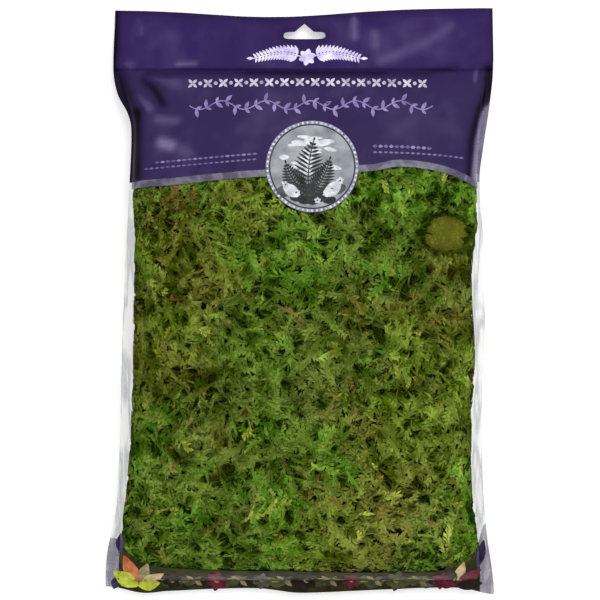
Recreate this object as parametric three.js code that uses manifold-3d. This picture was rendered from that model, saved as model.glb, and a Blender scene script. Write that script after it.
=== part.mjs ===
// A retail bag of preserved forest moss, lying on its back with its label up. Two sheets of film are welded
// together at the header, down both sides and across the foot, and are packed with two layers of moss mats.
// Millimetres. +X runs to the label's right, +Y from the foot to the header and +Z up out of the label.
// The origin lies under the middle of the bag, on the surface that the bag rests on.

import * as THREE from "three";
import { mergeGeometries, mergeVertices } from "three/addons/utils/BufferGeometryUtils.js";
import Module from "manifold-3d";

const wasm = await Module();
wasm.setup();

// Driving dimensions. HALF_LENGTH and HALF_WIDTH reach the header's higher corner and the corners of the foot.
const HALF_LENGTH = 225;
const HALF_WIDTH = 149;
const FILM = 0.4;
const TOUCH = 0.3;
const TOP_WELD_Y = 177;
const FOOT_WELD_Y = -214;
const CROWN = 36;

// The curves below are lists of [place, value], read off the real bag's outline and joined smoothly.
// Height of the weld between the two sheets, above the surface.
const WELD_HEIGHT = [
  [-HALF_LENGTH, 7],
  [FOOT_WELD_Y, 9],
  [-190, 16],
  [-120, 24],
  [60, 24],
  [120, 20],
  [TOP_WELD_Y, 11],
  [HALF_LENGTH, 5],
];
// The outer edge of the film on each side.
const LEFT_EDGE = [
  [-HALF_LENGTH, -HALF_WIDTH],
  [-210, -HALF_WIDTH],
  [-190, -147],
  [-160, -140.5],
  [-110, -137.5],
  [-30, -135.5],
  [30, -133],
  [90, -130],
  [132, -129],
  [144, -132],
  [158, -139.5],
  [TOP_WELD_Y, -143],
  [HALF_LENGTH, -142],
];
const RIGHT_EDGE = [
  [-HALF_LENGTH, HALF_WIDTH],
  [-205, 147],
  [-180, 143],
  [-145, 140],
  [-80, 138.5],
  [-20, 141],
  [35, 140.5],
  [92, 137],
  [118, 140],
  [150, 145],
  [TOP_WELD_Y, 148],
  [HALF_LENGTH, 148],
];
// The outer edge of the film across the foot, from left to right.
const FOOT_EDGE = [
  [-HALF_WIDTH, -219],
  [-120, -224],
  [-100, -222.5],
  [-34, -220.5],
  [0, -224],
  [40, -222.5],
  [122, -220],
  [HALF_WIDTH, -HALF_LENGTH],
];
// Where the two sheets part and the bag begins to swell, inside the side welds.
const LEFT_SHOULDER = [
  [FOOT_WELD_Y, -139],
  [-150, -136],
  [-90, -134],
  [0, -131],
  [60, -129.5],
  [132, -127.5],
  [150, -131],
  [TOP_WELD_Y, -139],
];
const RIGHT_SHOULDER = [
  [FOOT_WELD_Y, 138],
  [-150, 135],
  [-80, 134],
  [0, 137],
  [60, 138],
  [92, 135.5],
  [150, 140],
  [TOP_WELD_Y, 143],
];

// How the filled part swells: full between these two stations, and down to nothing at the welds.
const FULL_FROM_Y = -150;
const FULL_TO_Y = 40;
const FRONT_POWER = 2.8;
const BACK_POWER = 4;
const FLAT_DEPTH = 1.5;
const LUMP = 1.6;

// The header's top edge rises to the right and sags a little left of the middle.
const HEADER_TOP = { middle: HALF_LENGTH - 0.75, rise: 0.75, sag: 7, sagX: -20, sagWidth: 72 };
// The slot that a display peg goes through: a level slot with a round crown in its upper edge.
const SLOT = { x: 3.4, y: 203.8, halfWidth: 16, halfHeight: 2.8, crown: 6.4 };

// The moss: mats in staggered rows, in two layers, kept clear of the film and of each other.
const MOSS_FROM_Y = -206;
const MOSS_TO_Y = 130;
const PACK_SHARE = 0.965;
const PACK_CORNER_POWER = 9;
const MAT_GAP = 0.6;
const LAYER_GAP = 0.8;
const LAYER_RISE = 2;
const FRONT_CLEARANCE = 1.25;
const BACK_CLEARANCE = 0.85;
const SHOULDER_CLEARANCE = 3.5;
const THINNEST = 3;
const OUTLINE_STEPS = 16;
const FRONT_LAYER = { name: "front_mat", rows: [4, 3, 4, 3, 4], stagger: 0.16 };
const BACK_LAYER = { name: "back_mat", rows: [3, 4, 3], stagger: 0.14 };
// A mat's section, from its underside to its top: how wide, and how high between its two faces.
const MAT_PROFILE = [
  [0, 0],
  [0.5, 0],
  [0.93, 0],
  [1, 0.32],
  [1, 0.68],
  [0.95, 1],
  [0.72, 1],
  [0.38, 1],
  [0, 1],
];

// The value of a curve at a place: Hermite pieces with the slope between each point's neighbours.
function along(curve, place) {
  const last = curve.length - 1;
  if (place <= curve[0][0]) return curve[0][1];
  if (place >= curve[last][0]) return curve[last][1];
  const i = curve.findIndex(([at]) => at > place) - 1;
  const slope = (k) => {
    if (k === 0 || k === last) return 0;
    return (curve[k + 1][1] - curve[k - 1][1]) / (curve[k + 1][0] - curve[k - 1][0]);
  };
  const [from, low] = curve[i];
  const [to, high] = curve[i + 1];
  const span = to - from;
  const t = (place - from) / span;
  const bend = t * (1 - t) * span;
  return low + (high - low) * t * t * (3 - 2 * t) + bend * ((1 - t) * slope(i) - t * slope(i + 1));
}

// How full the bag is at y: 1 in the middle, 0 at the welds. The foot is blunt and the head is a long ramp.
function fullness(y) {
  if (y < FULL_FROM_Y) {
    const s = Math.min((FULL_FROM_Y - y) / (FULL_FROM_Y - FOOT_WELD_Y), 1);
    return Math.sqrt(1 - s ** 3);
  }
  const s = Math.min(Math.max((y - FULL_TO_Y) / (TOP_WELD_Y - FULL_TO_Y), 0), 1);
  return (1 - s ** 2.2) ** 0.9;
}

// How full the bag is at (x, y): nothing at the shoulders, moved in by inset, and fullness(y) between them.
function swell(x, y, inset, power) {
  const left = along(LEFT_SHOULDER, y) + inset;
  const right = along(RIGHT_SHOULDER, y) - inset;
  const across = (2 * x - left - right) / (right - left);
  return fullness(y) * Math.max(1 - Math.abs(across) ** power, 0) ** (1 / power);
}

function lumps(x, y) {
  return LUMP * (Math.sin(x / 21 + 1.3) * Math.sin(y / 27 + 0.4) + 0.6 * Math.sin(x / 13 - y / 17));
}

// The height of the front sheet's outer face.
function frontHeight(x, y, inset = 0) {
  const weld = along(WELD_HEIGHT, y) + TOUCH / 2 + FILM;
  return weld + swell(x, y, inset, FRONT_POWER) * (CROWN + lumps(x, y));
}

// The height of the back sheet's outer face, which the weight of the moss presses flat.
function backHeight(x, y, inset = 0) {
  const weld = along(WELD_HEIGHT, y) - TOUCH / 2 - FILM;
  return Math.max(weld - swell(x, y, inset, BACK_POWER) * (weld + FLAT_DEPTH), 0);
}

function headerTop(x) {
  const { middle, rise, sag, sagX, sagWidth } = HEADER_TOP;
  return middle + (rise * x) / HALF_WIDTH - sag * Math.exp(-(((x - sagX) / sagWidth) ** 2));
}

// The geometry as one merged surface, with each vertex moved to place(vertex), a list of x, y and z.
function shaped(geometry, place) {
  geometry.deleteAttribute("normal");
  geometry.deleteAttribute("uv");
  const merged = mergeVertices(geometry);
  const { position } = merged.attributes;
  const vertex = new THREE.Vector3();
  for (let k = 0; k < position.count; k++) {
    vertex.fromBufferAttribute(position, k);
    position.setXYZ(k, ...place(vertex));
  }
  return merged;
}

// The x of line i of a film sheet's grid at y: one column of weld on each side, and between them the swell,
// with its columns closer together near the shoulders, where the sheet turns down.
function columnX(i, columns, y) {
  if (i === 0) return along(LEFT_EDGE, y);
  if (i === columns) return along(RIGHT_EDGE, y);
  const left = along(LEFT_SHOULDER, y);
  const right = along(RIGHT_SHOULDER, y);
  const share = Math.sin(((i - 1) / (columns - 2) - 0.5) * Math.PI);
  return (left + right + share * (right - left)) / 2;
}

// The y of line j of a film sheet's grid: the foot weld is the first row, and the rows crowd at both ends.
function rowY(j, rows, x) {
  if (j === 0) return along(FOOT_EDGE, x);
  const share = (j - 1) / (rows - 1);
  const eased = share - (0.75 * Math.sin(2 * Math.PI * share)) / (2 * Math.PI);
  return FOOT_WELD_Y + eased * (TOP_WELD_Y - TOUCH / 2 - FOOT_WELD_Y);
}

// The column and row of step k round a grid's rim, counter-clockwise from its lower left corner.
function rimPlace(k, columns, rows) {
  if (k < columns) return [k, 0];
  if (k < columns + rows) return [columns, k - columns];
  if (k < 2 * columns + rows) return [2 * columns + rows - k, rows];
  return [0, 2 * (columns + rows) - k];
}

// A closed sheet between two grids of points, upper(i, j) and lower(i, j). Both faces are cut into the same
// triangles, so the wall between them stays even.
function closedSheet(columns, rows, upper, lower) {
  const face = (place) =>
    shaped(new THREE.PlaneGeometry(1, 1, columns, rows), ({ x, y }) =>
      place(Math.round((x + 0.5) * columns), Math.round((y + 0.5) * rows)),
    );
  const underside = face(lower);
  underside.index.array.reverse();
  const around = 2 * (columns + rows);
  const rim = shaped(new THREE.PlaneGeometry(1, 1, around, 1), ({ x, y }) => {
    const place = rimPlace(Math.round((x + 0.5) * around), columns, rows);
    return y > 0 ? upper(...place) : lower(...place);
  });
  return mergeVertices(mergeGeometries([face(upper), underside, rim]));
}

// One sheet of the bag, whose outer face has the given height. upward is 1 for the front sheet and -1 for the
// back one. Its wall is measured across its own slope, and squarely into the corner where it leaves a weld.
function filmSheet(columns, rows, height, upward) {
  const step = 0.5;
  const outer = (i, j) => {
    const y = rowY(j, rows, columnX(i, columns, FOOT_WELD_Y));
    const x = columnX(i, columns, y);
    return [x, y, height(x, y)];
  };
  const inner = (i, j) => {
    const [x, y, z] = outer(i, j);
    const inward = new THREE.Vector3(0, 0, -upward);
    const onRim = i === 0 || i === columns || j === 0 || j === rows;
    if (!onRim) {
      if (i === 1) inward.x = 1;
      if (i === columns - 1) inward.x = -1;
      if (j === 1) inward.y = 1;
      if (inward.x === 0 && inward.y === 0) {
        const slopeX = (height(x + step, y) - height(x - step, y)) / (2 * step);
        const slopeY = (height(x, y + step) - height(x, y - step)) / (2 * step);
        inward.set(-slopeX, -slopeY, 1).setLength(-upward);
      }
    }
    return [x + FILM * inward.x, y + FILM * inward.y, z + FILM * inward.z];
  };
  return upward > 0 ? closedSheet(columns, rows, outer, inner) : closedSheet(columns, rows, inner, outer);
}

function solidOf(geometry) {
  const bare = geometry.clone();
  bare.deleteAttribute("normal");
  bare.deleteAttribute("uv");
  const merged = mergeVertices(bare);
  const mesh = new wasm.Mesh({
    numProp: 3,
    vertProperties: merged.attributes.position.array,
    triVerts: new Uint32Array(merged.index.array),
  });
  return new wasm.Manifold(mesh);
}

function geometryOf(solid) {
  const mesh = solid.getMesh();
  const geometry = new THREE.BufferGeometry();
  geometry.setAttribute("position", new THREE.BufferAttribute(mesh.vertProperties, 3));
  geometry.setIndex(new THREE.BufferAttribute(mesh.triVerts, 1));
  return geometry;
}

function pegSlot() {
  const { x, y, halfWidth, halfHeight, crown } = SLOT;
  const reach = halfWidth - halfHeight;
  const shape = new THREE.Shape();
  shape.absarc(x + reach, y, halfHeight, -Math.PI / 2, Math.PI / 2, false);
  shape.absarc(x, y + halfHeight, crown, 0, Math.PI, false);
  shape.absarc(x - reach, y, halfHeight, Math.PI / 2, (3 * Math.PI) / 2, false);
  const geometry = new THREE.ExtrudeGeometry(shape, { depth: 40, bevelEnabled: false, curveSegments: 6 });
  return geometry.translate(0, 0, -10);
}

// The header: both sheets welded into one above the top weld, with the peg slot punched through.
function hangHeader() {
  const columns = 16;
  const rows = 4;
  const thickness = 2 * FILM + TOUCH;
  const from = TOP_WELD_Y + TOUCH / 2;
  const face = (rise) => (i, j) => {
    const share = i / columns;
    const top = headerTop((2 * share - 1) * HALF_WIDTH);
    const y = from + (j / rows) * (top - from);
    const left = along(LEFT_EDGE, y);
    return [left + share * (along(RIGHT_EDGE, y) - left), y, along(WELD_HEIGHT, y) + rise];
  };
  const sheet = closedSheet(columns, rows, face(thickness / 2), face(-thickness / 2));
  return geometryOf(solidOf(sheet).subtract(solidOf(pegSlot())));
}

// The moss pack's outline in plan, counter-clockwise: it follows the shoulders and has round corners.
function packOutline() {
  const steps = 22;
  const middle = (MOSS_FROM_Y + MOSS_TO_Y) / 2;
  const half = (MOSS_TO_Y - MOSS_FROM_Y) / 2;
  const side = (shoulder, upward) => {
    const points = [];
    for (let k = 0; k <= steps; k++) {
      const share = upward * Math.sin((k / steps - 0.5) * Math.PI);
      const width = Math.max((1 - Math.abs(share) ** PACK_CORNER_POWER) ** 0.42, 0.55);
      const y = middle + share * half;
      points.push(new THREE.Vector2(along(shoulder, y) * PACK_SHARE * width, y));
    }
    return points;
  };
  return [...side(RIGHT_SHOULDER, 1), ...side(LEFT_SHOULDER, -1)];
}

// The part of a convex polygon that is nearer to site than to other, less half a gap.
function cutTowards(polygon, site, other) {
  const away = other.clone().sub(site).normalize();
  const limit = (away.dot(site) + away.dot(other) - MAT_GAP) / 2;
  const kept = [];
  polygon.forEach((p, k) => {
    const q = polygon[(k + 1) % polygon.length];
    const dp = away.dot(p) - limit;
    const dq = away.dot(q) - limit;
    if (dp <= 0) kept.push(p);
    if (dp * dq < 0) kept.push(p.clone().lerp(q, dp / (dp - dq)));
  });
  return kept;
}

// A polygon's outline with round corners, as evenly spaced points.
function rounded(polygon) {
  const path = new THREE.Path();
  polygon.forEach((corner, k) => {
    const before = polygon.at(k - 1);
    const after = polygon[(k + 1) % polygon.length];
    const from = corner.clone().lerp(before, 0.3);
    const to = corner.clone().lerp(after, 0.3);
    if (k === 0) path.moveTo(from.x, from.y);
    path.lineTo(from.x, from.y);
    path.quadraticCurveTo(corner.x, corner.y, to.x, to.y);
  });
  path.closePath();
  return path.getSpacedPoints(OUTLINE_STEPS).slice(0, OUTLINE_STEPS);
}

// The middles of one layer's mats: staggered rows, each moved a little off the even grid.
function matSites({ rows, stagger }) {
  const sites = [];
  const high = (MOSS_TO_Y - MOSS_FROM_Y) / rows.length;
  rows.forEach((count, row) => {
    for (let n = 0; n < count; n++) {
      const turn = sites.length * 2.4;
      const y = MOSS_TO_Y - (row + 0.5 + stagger * Math.sin(turn)) * high;
      const left = along(LEFT_SHOULDER, y);
      const right = along(RIGHT_SHOULDER, y);
      const share = (n + 0.5 + stagger * Math.cos(turn * 1.7)) / count;
      sites.push(new THREE.Vector2(left + share * (right - left), y));
    }
  });
  return sites;
}

// One moss mat: a pillow over its outline, with its upper and lower faces at the given heights.
function mossMat(outline, upper, lower) {
  const middle = new THREE.Vector2();
  outline.forEach((p) => middle.addScaledVector(p, 1 / outline.length));
  const profile = MAT_PROFILE.map(([width, rise]) => new THREE.Vector2(width, rise));
  return shaped(new THREE.LatheGeometry(profile, outline.length), (vertex) => {
    const turns = Math.atan2(vertex.x, vertex.z) / (2 * Math.PI);
    const n = Math.round(turns * outline.length) % outline.length;
    const p = middle.clone().lerp(outline.at(n), Math.hypot(vertex.x, vertex.z));
    const low = lower(p.x, p.y);
    const high = Math.max(upper(p.x, p.y), low + THINNEST);
    return [p.x, p.y, low + vertex.y * (high - low)];
  });
}

// One layer of mats, as a list of geometries, between two surfaces.
function matLayer(layer, upper, lower) {
  const sites = matSites(layer);
  return sites.map((site) => {
    const others = sites.filter((other) => other !== site);
    const cell = others.reduce((polygon, other) => cutTowards(polygon, site, other), packOutline());
    return mossMat(rounded(cell), upper, lower);
  });
}

// The surfaces that hold the moss. The two layers meet a little above the welds.
const mossTop = (x, y) => frontHeight(x, y, SHOULDER_CLEARANCE) - FILM - FRONT_CLEARANCE;
const mossFoot = (x, y) => backHeight(x, y, SHOULDER_CLEARANCE) + FILM + BACK_CLEARANCE;
const frontLayerFoot = (x, y) => along(WELD_HEIGHT, y) + LAYER_RISE + LAYER_GAP / 2;
const backLayerTop = (x, y) => along(WELD_HEIGHT, y) + LAYER_RISE - LAYER_GAP / 2;

const clearFilm = new THREE.MeshStandardMaterial({
  color: 0xe8eceb,
  roughness: 0.15,
  metalness: 0,
  transparent: true,
  opacity: 0.3,
});
const printedFilm = new THREE.MeshStandardMaterial({ color: 0x3f2d63, roughness: 0.3, metalness: 0 });
const mossGreen = new THREE.MeshStandardMaterial({ color: 0x4d6420, roughness: 0.95, metalness: 0 });
const mossOlive = new THREE.MeshStandardMaterial({ color: 0x5a5f28, roughness: 0.95, metalness: 0 });

const bag = new THREE.Group();

function add(name, geometry, material) {
  const mesh = new THREE.Mesh(geometry, material);
  mesh.name = name;
  bag.add(mesh);
}

function addLayer(layer, upper, lower) {
  matLayer(layer, upper, lower).forEach((geometry, n) => {
    const number = String(n + 1).padStart(2, "0");
    add(`${layer.name}_${number}`, geometry, n % 3 === 1 ? mossOlive : mossGreen);
  });
}

add("front_film", filmSheet(22, 26, frontHeight, 1), clearFilm);
add("back_film", filmSheet(18, 20, backHeight, -1), clearFilm);
add("hang_header", hangHeader(), printedFilm);
addLayer(FRONT_LAYER, mossTop, frontLayerFoot);
addLayer(BACK_LAYER, backLayerTop, mossFoot);

export default bag;
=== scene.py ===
import logging
import math
from collections.abc import Callable, Sequence
from dataclasses import dataclass, field
from enum import Enum, IntEnum
from random import Random

import bmesh
import bpy
import numpy as np
from mathutils import Matrix, Vector, noise
from mathutils.bvhtree import BVHTree


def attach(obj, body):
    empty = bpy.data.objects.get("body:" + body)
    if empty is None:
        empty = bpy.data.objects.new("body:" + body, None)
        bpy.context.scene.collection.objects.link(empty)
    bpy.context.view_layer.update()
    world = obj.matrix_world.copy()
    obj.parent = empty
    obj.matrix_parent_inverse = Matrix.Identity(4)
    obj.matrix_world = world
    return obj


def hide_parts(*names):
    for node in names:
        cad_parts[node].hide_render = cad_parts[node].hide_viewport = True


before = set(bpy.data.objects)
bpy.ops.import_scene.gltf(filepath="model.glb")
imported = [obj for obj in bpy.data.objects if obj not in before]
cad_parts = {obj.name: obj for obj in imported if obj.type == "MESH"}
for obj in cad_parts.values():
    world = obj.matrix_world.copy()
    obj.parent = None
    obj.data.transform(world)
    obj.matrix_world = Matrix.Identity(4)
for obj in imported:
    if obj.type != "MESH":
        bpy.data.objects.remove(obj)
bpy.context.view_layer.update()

LOG = logging.getLogger("moss_bag")
MM = 0.001
SHOOT_MAP = "OFBake"
# The stored attribute of painted shade and painted highlights.
PAINTED_LIGHT = "painted_light"
THIN = "thin"
Array = np.ndarray
Colour = tuple[float, float, float, float]
Spot = tuple[float, float]
Knots = tuple[Spot, ...]
Stops = tuple[tuple[float, Colour], ...]
Socket = bpy.types.NodeSocket
Feeds = dict[str | int, object]
Piece = bpy.types.Object
Material = bpy.types.Material
Node = bpy.types.Node
Tree = bpy.types.NodeTree
Draft = bmesh.types.BMesh


# Small helpers


def paint(red: float, green: float, blue: float) -> Colour:
    """Turn a colour mixed in steps of 0 to 255 into a shader's linear colour.

    Args:
        red: Red as seen on a screen.
        green: Green as seen on a screen.
        blue: Blue as seen on a screen.

    Returns:
        The linear red, green, blue and an alpha of one.
    """

    def linear(step: float) -> float:
        """Undo a screen's curve for one channel."""
        share = step / 255
        return share / 12.92 if share <= 0.04045 else ((share + 0.055) / 1.055) ** 2.4

    return (linear(red), linear(green), linear(blue), 1.0)


def cloud(x: Array, y: Array, size: float, seed: float) -> Array:
    """Soft noise over the plan in lumps of one size, from about -1 to 1 at each place."""
    return np.array([noise.noise(Vector((a / size, b / size, seed))) * 1.6 for a, b in zip(x, y)])


@dataclass(frozen=True)
class Curve:
    """A smooth curve through knots, held level beyond its ends."""

    knots: Knots

    def at(self, place: Array | float) -> Array:
        """Read the curve.

        Args:
            place: Where to read it.

        Returns:
            The curve's value at each place.
        """
        where = np.array([k[0] for k in self.knots], float)
        value = np.array([k[1] for k in self.knots], float)
        slope = np.zeros(len(where))
        slope[1:-1] = (value[2:] - value[:-2]) / (where[2:] - where[:-2])
        x = np.clip(place, where[0], where[-1])
        i = np.clip(np.searchsorted(where, x, side="right") - 1, 0, len(where) - 2)
        span = where[i + 1] - where[i]
        t = (x - where[i]) / span
        rise = value[i] + (value[i + 1] - value[i]) * t * t * (3 - 2 * t)
        lean = (1 - t) * slope[i] - t * slope[i + 1]
        return rise + t * (1 - t) * span * lean


def bell(x: Array) -> Array:
    """One at zero, fading to nothing on both sides."""
    return np.exp(-(x**2))


def level(y: float) -> Curve:
    """A straight line across the bag at one height."""
    return Curve(((-150.0, y), (150.0, y)))


# The form of the bag


@dataclass(frozen=True)
class BagForm:
    """The form of the filled bag, in millimetres: the solid model's, a little closer at the sides."""

    crown: float = 36.0
    lump: float = 1.6
    lump_lengths: tuple[float, float, float, float] = (21.0, 27.0, 13.0, 17.0)
    film: float = 0.4
    touch: float = 0.3
    flat_depth: float = 1.5
    front_power: float = 2.8
    back_power: float = 4.0
    top_weld: float = 177.0
    foot_weld: float = -214.0
    full_from: float = -150.0
    full_to: float = 40.0
    foot_round: float = 3.0
    head_round: float = 2.2
    half_width: float = 149.0
    head_end: float = 224.25
    head_slant: float = 0.75
    head_dip: float = 6.0
    dip_at: float = -20.0
    dip_width: float = 72.0
    weld: Curve = Curve(
        ((-225, 7), (-214, 9), (-190, 16), (-120, 24), (60, 24), (120, 20), (177, 11), (225, 5))
    )
    left_edge: Curve = Curve(
        ((-225, -149), (-210, -149), (-190, -147), (-160, -140.5), (-110, -137.5), (-30, -135.5),
         (30, -133), (90, -130), (132, -129), (144, -132), (158, -139.5), (177, -143), (225, -142))
    )
    right_edge: Curve = Curve(
        ((-225, 149), (-205, 147), (-180, 143), (-145, 140), (-80, 138.5), (-20, 141),
         (35, 140.5), (92, 137), (118, 140), (150, 145), (177, 148), (225, 148))
    )
    left_shoulder: Curve = Curve(
        ((-214, -139), (-165, -136), (-140, -133), (-110, -130.5), (-60, -128.5), (0, -127.5),
         (55, -127), (80, -128.5), (132, -127.5), (150, -131), (177, -139))
    )
    right_shoulder: Curve = Curve(
        ((-214, 138), (-175, 136), (-145, 132), (-100, 131.5), (-60, 133.5), (-35, 134),
         (0, 132), (25, 132), (60, 136), (92, 135.5), (150, 140), (177, 143))
    )
    foot_edge: Curve = Curve(
        ((-149, -219), (-120, -224), (-100, -222.5), (-34, -220.5), (0, -224), (40, -222.5),
         (122, -220), (149, -225))
    )

    def fullness(self, y: Array) -> Array:
        """How full the bag is along its length.

        Args:
            y: Places along the bag.

        Returns:
            The fullness at each place, from 0 at the end welds to 1.
        """
        foot = np.clip((self.full_from - y) / (self.full_from - self.foot_weld), 0, 1)
        head = np.clip((y - self.full_to) / (self.top_weld - self.full_to), 0, 1)
        low = np.sqrt(np.maximum(1 - foot**self.foot_round, 0))
        return np.where(y < self.full_from, low, np.maximum(1 - head**self.head_round, 0) ** 0.9)

    def shoulders(self, y: Array, inset: float = 0.0) -> tuple[Array, Array]:
        """Where the filled part starts at the left and the right, or a little inside that."""
        return self.left_shoulder.at(y) + inset, self.right_shoulder.at(y) - inset

    def across(self, x: Array, y: Array) -> Array:
        """Where a place lies between the shoulders, from -1 to 1."""
        left, right = self.shoulders(y)
        return (2 * x - left - right) / (right - left)

    def swell(self, x: Array, y: Array, power: float) -> Array:
        """The share of the crown that the bag has at each place."""
        side = np.abs(self.across(x, y)) ** power
        return self.fullness(y) * np.maximum(1 - side, 0) ** (1 / power)

    def filled(self, x: Array, y: Array) -> Array:
        """How far inside the welds each place is, from 0 to 1."""
        return self.swell(x, y, 2.0)

    def front(self, x: Array, y: Array) -> Array:
        """Height of the front film's outer face.

        Args:
            x: Places across the bag.
            y: Places along the bag.

        Returns:
            The height at each place.
        """
        wide, long, fine_wide, fine_long = self.lump_lengths
        lumps = self.lump * (
            np.sin(x / wide + 1.3) * np.sin(y / long + 0.4)
            + 0.6 * np.sin(x / fine_wide - y / fine_long)
        )
        rise = self.swell(x, y, self.front_power) * (self.crown + lumps)
        return self.weld.at(y) + self.touch / 2 + self.film + rise

    def seam(self, y: Array) -> Array:
        """Height of the back film's outer face at the welds."""
        return self.weld.at(y) - self.touch / 2 - self.film

    def back(self, x: Array, y: Array) -> Array:
        """Height of the back film's outer face, never below the floor."""
        drop = self.swell(x, y, self.back_power) * (self.seam(y) + self.flat_depth)
        return np.maximum(self.seam(y) - drop, 0)

    def header_top(self, x: Array) -> Array:
        """The header's top edge, which dips a little over the slot."""
        dip = self.head_dip * bell((x - self.dip_at) / self.dip_width)
        return self.head_end + self.head_slant * x / self.half_width - dip


@dataclass(frozen=True)
class Fold:
    """A soft fold or crease of the film along a short chain of points, in millimetres, and the painted
    shade or painted highlight it puts on the ink.
    """

    path: Knots
    width: float
    height: float
    # Painted light: below zero a painted shade, above zero a painted highlight.
    painted_light: float

    def press(self, x: Array, y: Array) -> Array:
        """How strongly the fold is felt.

        Args:
            x: Places across the bag.
            y: Places along the bag.

        Returns:
            The strength at each place, from 0 to 1.
        """
        gap = np.full(np.shape(x), np.inf)
        for (ax, ay), (bx, by) in zip(self.path, self.path[1:]):
            dx, dy = bx - ax, by - ay
            t = np.clip(((x - ax) * dx + (y - ay) * dy) / (dx * dx + dy * dy), 0, 1)
            gap = np.minimum(gap, (x - ax - t * dx) ** 2 + (y - ay - t * dy) ** 2)
        return np.exp(-gap / self.width**2)


@dataclass(frozen=True)
class FilmRelief:
    """The folds, pleats and ripples of the film, and the painted shade and painted highlights they give
    its ink.
    """

    form: BagForm
    # Each row is a path, a width, a height and its painted light: below zero painted shade in creases
    # and fold shadows, above zero painted highlights on folds.
    folds: tuple[Fold, ...] = tuple(
        Fold(*row) for row in (
            (((-117, 174), (-60, 175.2), (20, 174), (95, 174.5), (120, 179)), 2.3, -1.2, -0.48),
            (((-40, 174.8), (20, 174), (64, 174.2)), 2.3, 0.0, -0.45),
            (((-122, 170), (-108, 170), (-94, 165)), 4.0, 0.7, 0.16),
            (((-142.5, 224), (-142.5, 180)), 5.0, 0.0, -0.65),
            (((-120, 169), (-112, 163), (-104, 150)), 3.2, -0.6, -0.85),
            (((-138, 172), (-134.5, 160), (-128.5, 146)), 6.2, -0.2, -0.72),
            (((-124, 157), (-115, 147)), 3.4, 0.5, 0.26),
            (((-128, 158), (-106, 158)), 7.0, 0.0, -0.14),
            (((-123.5, 143), (-123.5, 94)), 3.8, -0.3, -1.0),
            (((-108, 138), (-94, 137)), 3.4, 0.4, 0.26),
            (((-105, 120), (-98, 118)), 4.2, 0.5, 0.78),
            (((-88, 114), (-84, 112)), 4.0, 0.3, 0.2),
            (((-139, 181), (-130, 180)), 3.4, 0.3, 0.22),
            (((-94, 181.5), (-80, 182)), 1.9, 0.3, 0.35),
            (((-123, 219), (-122.5, 205)), 1.2, 0.2, 0.16),
            (((-12, 203.8), (19, 203.8)), 5.6, 0.0, -0.5),
            (((41, 221), (42, 203)), 2.8, 0.5, 0.42),
            (((57, 205), (58, 196)), 3.4, 0.5, 0.26),
            (((63, 184), (78, 191), (97, 198), (115, 211)), 4.0, 0.5, 0.18),
            (((60, 186), (100, 190), (132, 184)), 5.0, 0.3, 0.06),
            (((112, 168), (122, 160), (112, 150)), 8.0, 0.5, 0.04),
            (((135, 176), (134, 168)), 1.8, 0.3, 0.3),
            (((144, 178), (144, 164), (137, 146), (130, 122), (128.5, 96)), 3.2, -0.3, -0.9),
        )
    )
    thin_from: Curve = Curve(((90, 130.5), (110, 132), (126, 134.5), (146, 140), (160, 152)))
    thin_over: float = 2.4
    header_half: float = 0.55
    pleat: float = 0.55
    ripple: float = 1.1
    pack_ends: float = 150.0
    rim_width: float = 3.6
    rim_darkening: float = 0.42

    def inside(self, x: Array, y: Array) -> Array:
        """One over the filled part, fading to nothing at the welds."""
        return np.clip(self.form.filled(x, y) * 3, 0, 1)

    def shared(self, x: Array, y: Array) -> Array:
        """The waves that both panels have, because they are welded together.

        Args:
            x: Places across the bag.
            y: Places along the bag.

        Returns:
            The waves' height at each place, in millimetres.
        """
        near_top = np.exp(-np.abs(y - self.form.top_weld) / 13)
        near_foot = np.exp(-np.abs(y - self.form.foot_weld) / 9)
        pleats = np.sin(x * 0.47 + 2.2 * cloud(x, y, 31, 5.1)) * self.pleat
        rim = 1 - np.clip(self.form.filled(x, y) * 2, 0, 1)
        wave = cloud(x, y, 17, 8.4) * rim * self.ripple
        return (0.3 * near_top + 0.7 * near_foot) * pleats + wave

    def front(self, x: Array, y: Array) -> Array:
        """How far the front film stands off its plain form.

        Args:
            x: Places across the bag.
            y: Places along the bag.

        Returns:
            The distance at each place, in millimetres.
        """
        own = sum(fold.height * fold.press(x, y) for fold in self.folds)
        pack = 0.42 * cloud(x, y, 11, 2.7) + 0.5 * cloud(x, y, 27, 6.3) + 0.25
        return own + self.shared(x, y) + pack * self.inside(x, y) * (y < self.pack_ends)

    def front_face(self, x: Array, y: Array) -> Array:
        """The outer face of the front film, with its folds."""
        return self.form.front(x, y) + self.front(x, y)

    def back_face(self, x: Array, y: Array) -> Array:
        """The outer face of the back film, with its folds, never below the floor."""
        return np.maximum(self.form.back(x, y) + self.back(x, y), 0.0)

    def welded(self, x: Array, y: Array) -> Array:
        """The outer face of the header, where both films are welded into one."""
        return self.form.weld.at(y) + self.header_half + self.front(x, y)

    def back(self, x: Array, y: Array) -> Array:
        """How far the back film stands off its plain form, in millimetres."""
        return self.shared(x, y) * np.exp(-self.form.filled(x, y) * 6)

    def painted_light(self, x: Array, y: Array) -> Array:
        """The painted shade in the creases and fold shadows and the painted highlights on the folds,
        darker along the edges, with a little random variation.

        Args:
            x: Places across the bag.
            y: Places along the bag.

        Returns:
            The painted light at each place: painted shade below zero and painted highlight above it.
        """
        own = sum(fold.painted_light * fold.press(x, y) for fold in self.folds)
        side = np.minimum(x - self.form.left_edge.at(y), self.form.right_edge.at(y) - x)
        rim = np.minimum(side, self.form.header_top(x) - y)
        # Darker along the outer edges of the film.
        own = own - self.rim_darkening * bell(rim / self.rim_width)
        return own + 0.08 * cloud(x, y, 38, 1.9) + 0.04 * cloud(x, y, 9, 4.4)

    def thin(self, x: Array, y: Array) -> Array:
        """How far the ink thins out towards the right weld, from 0 to 1."""
        return np.clip((x - self.thin_from.at(y)) / self.thin_over + 0.5, 0, 1)


# Shader nodes


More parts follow.
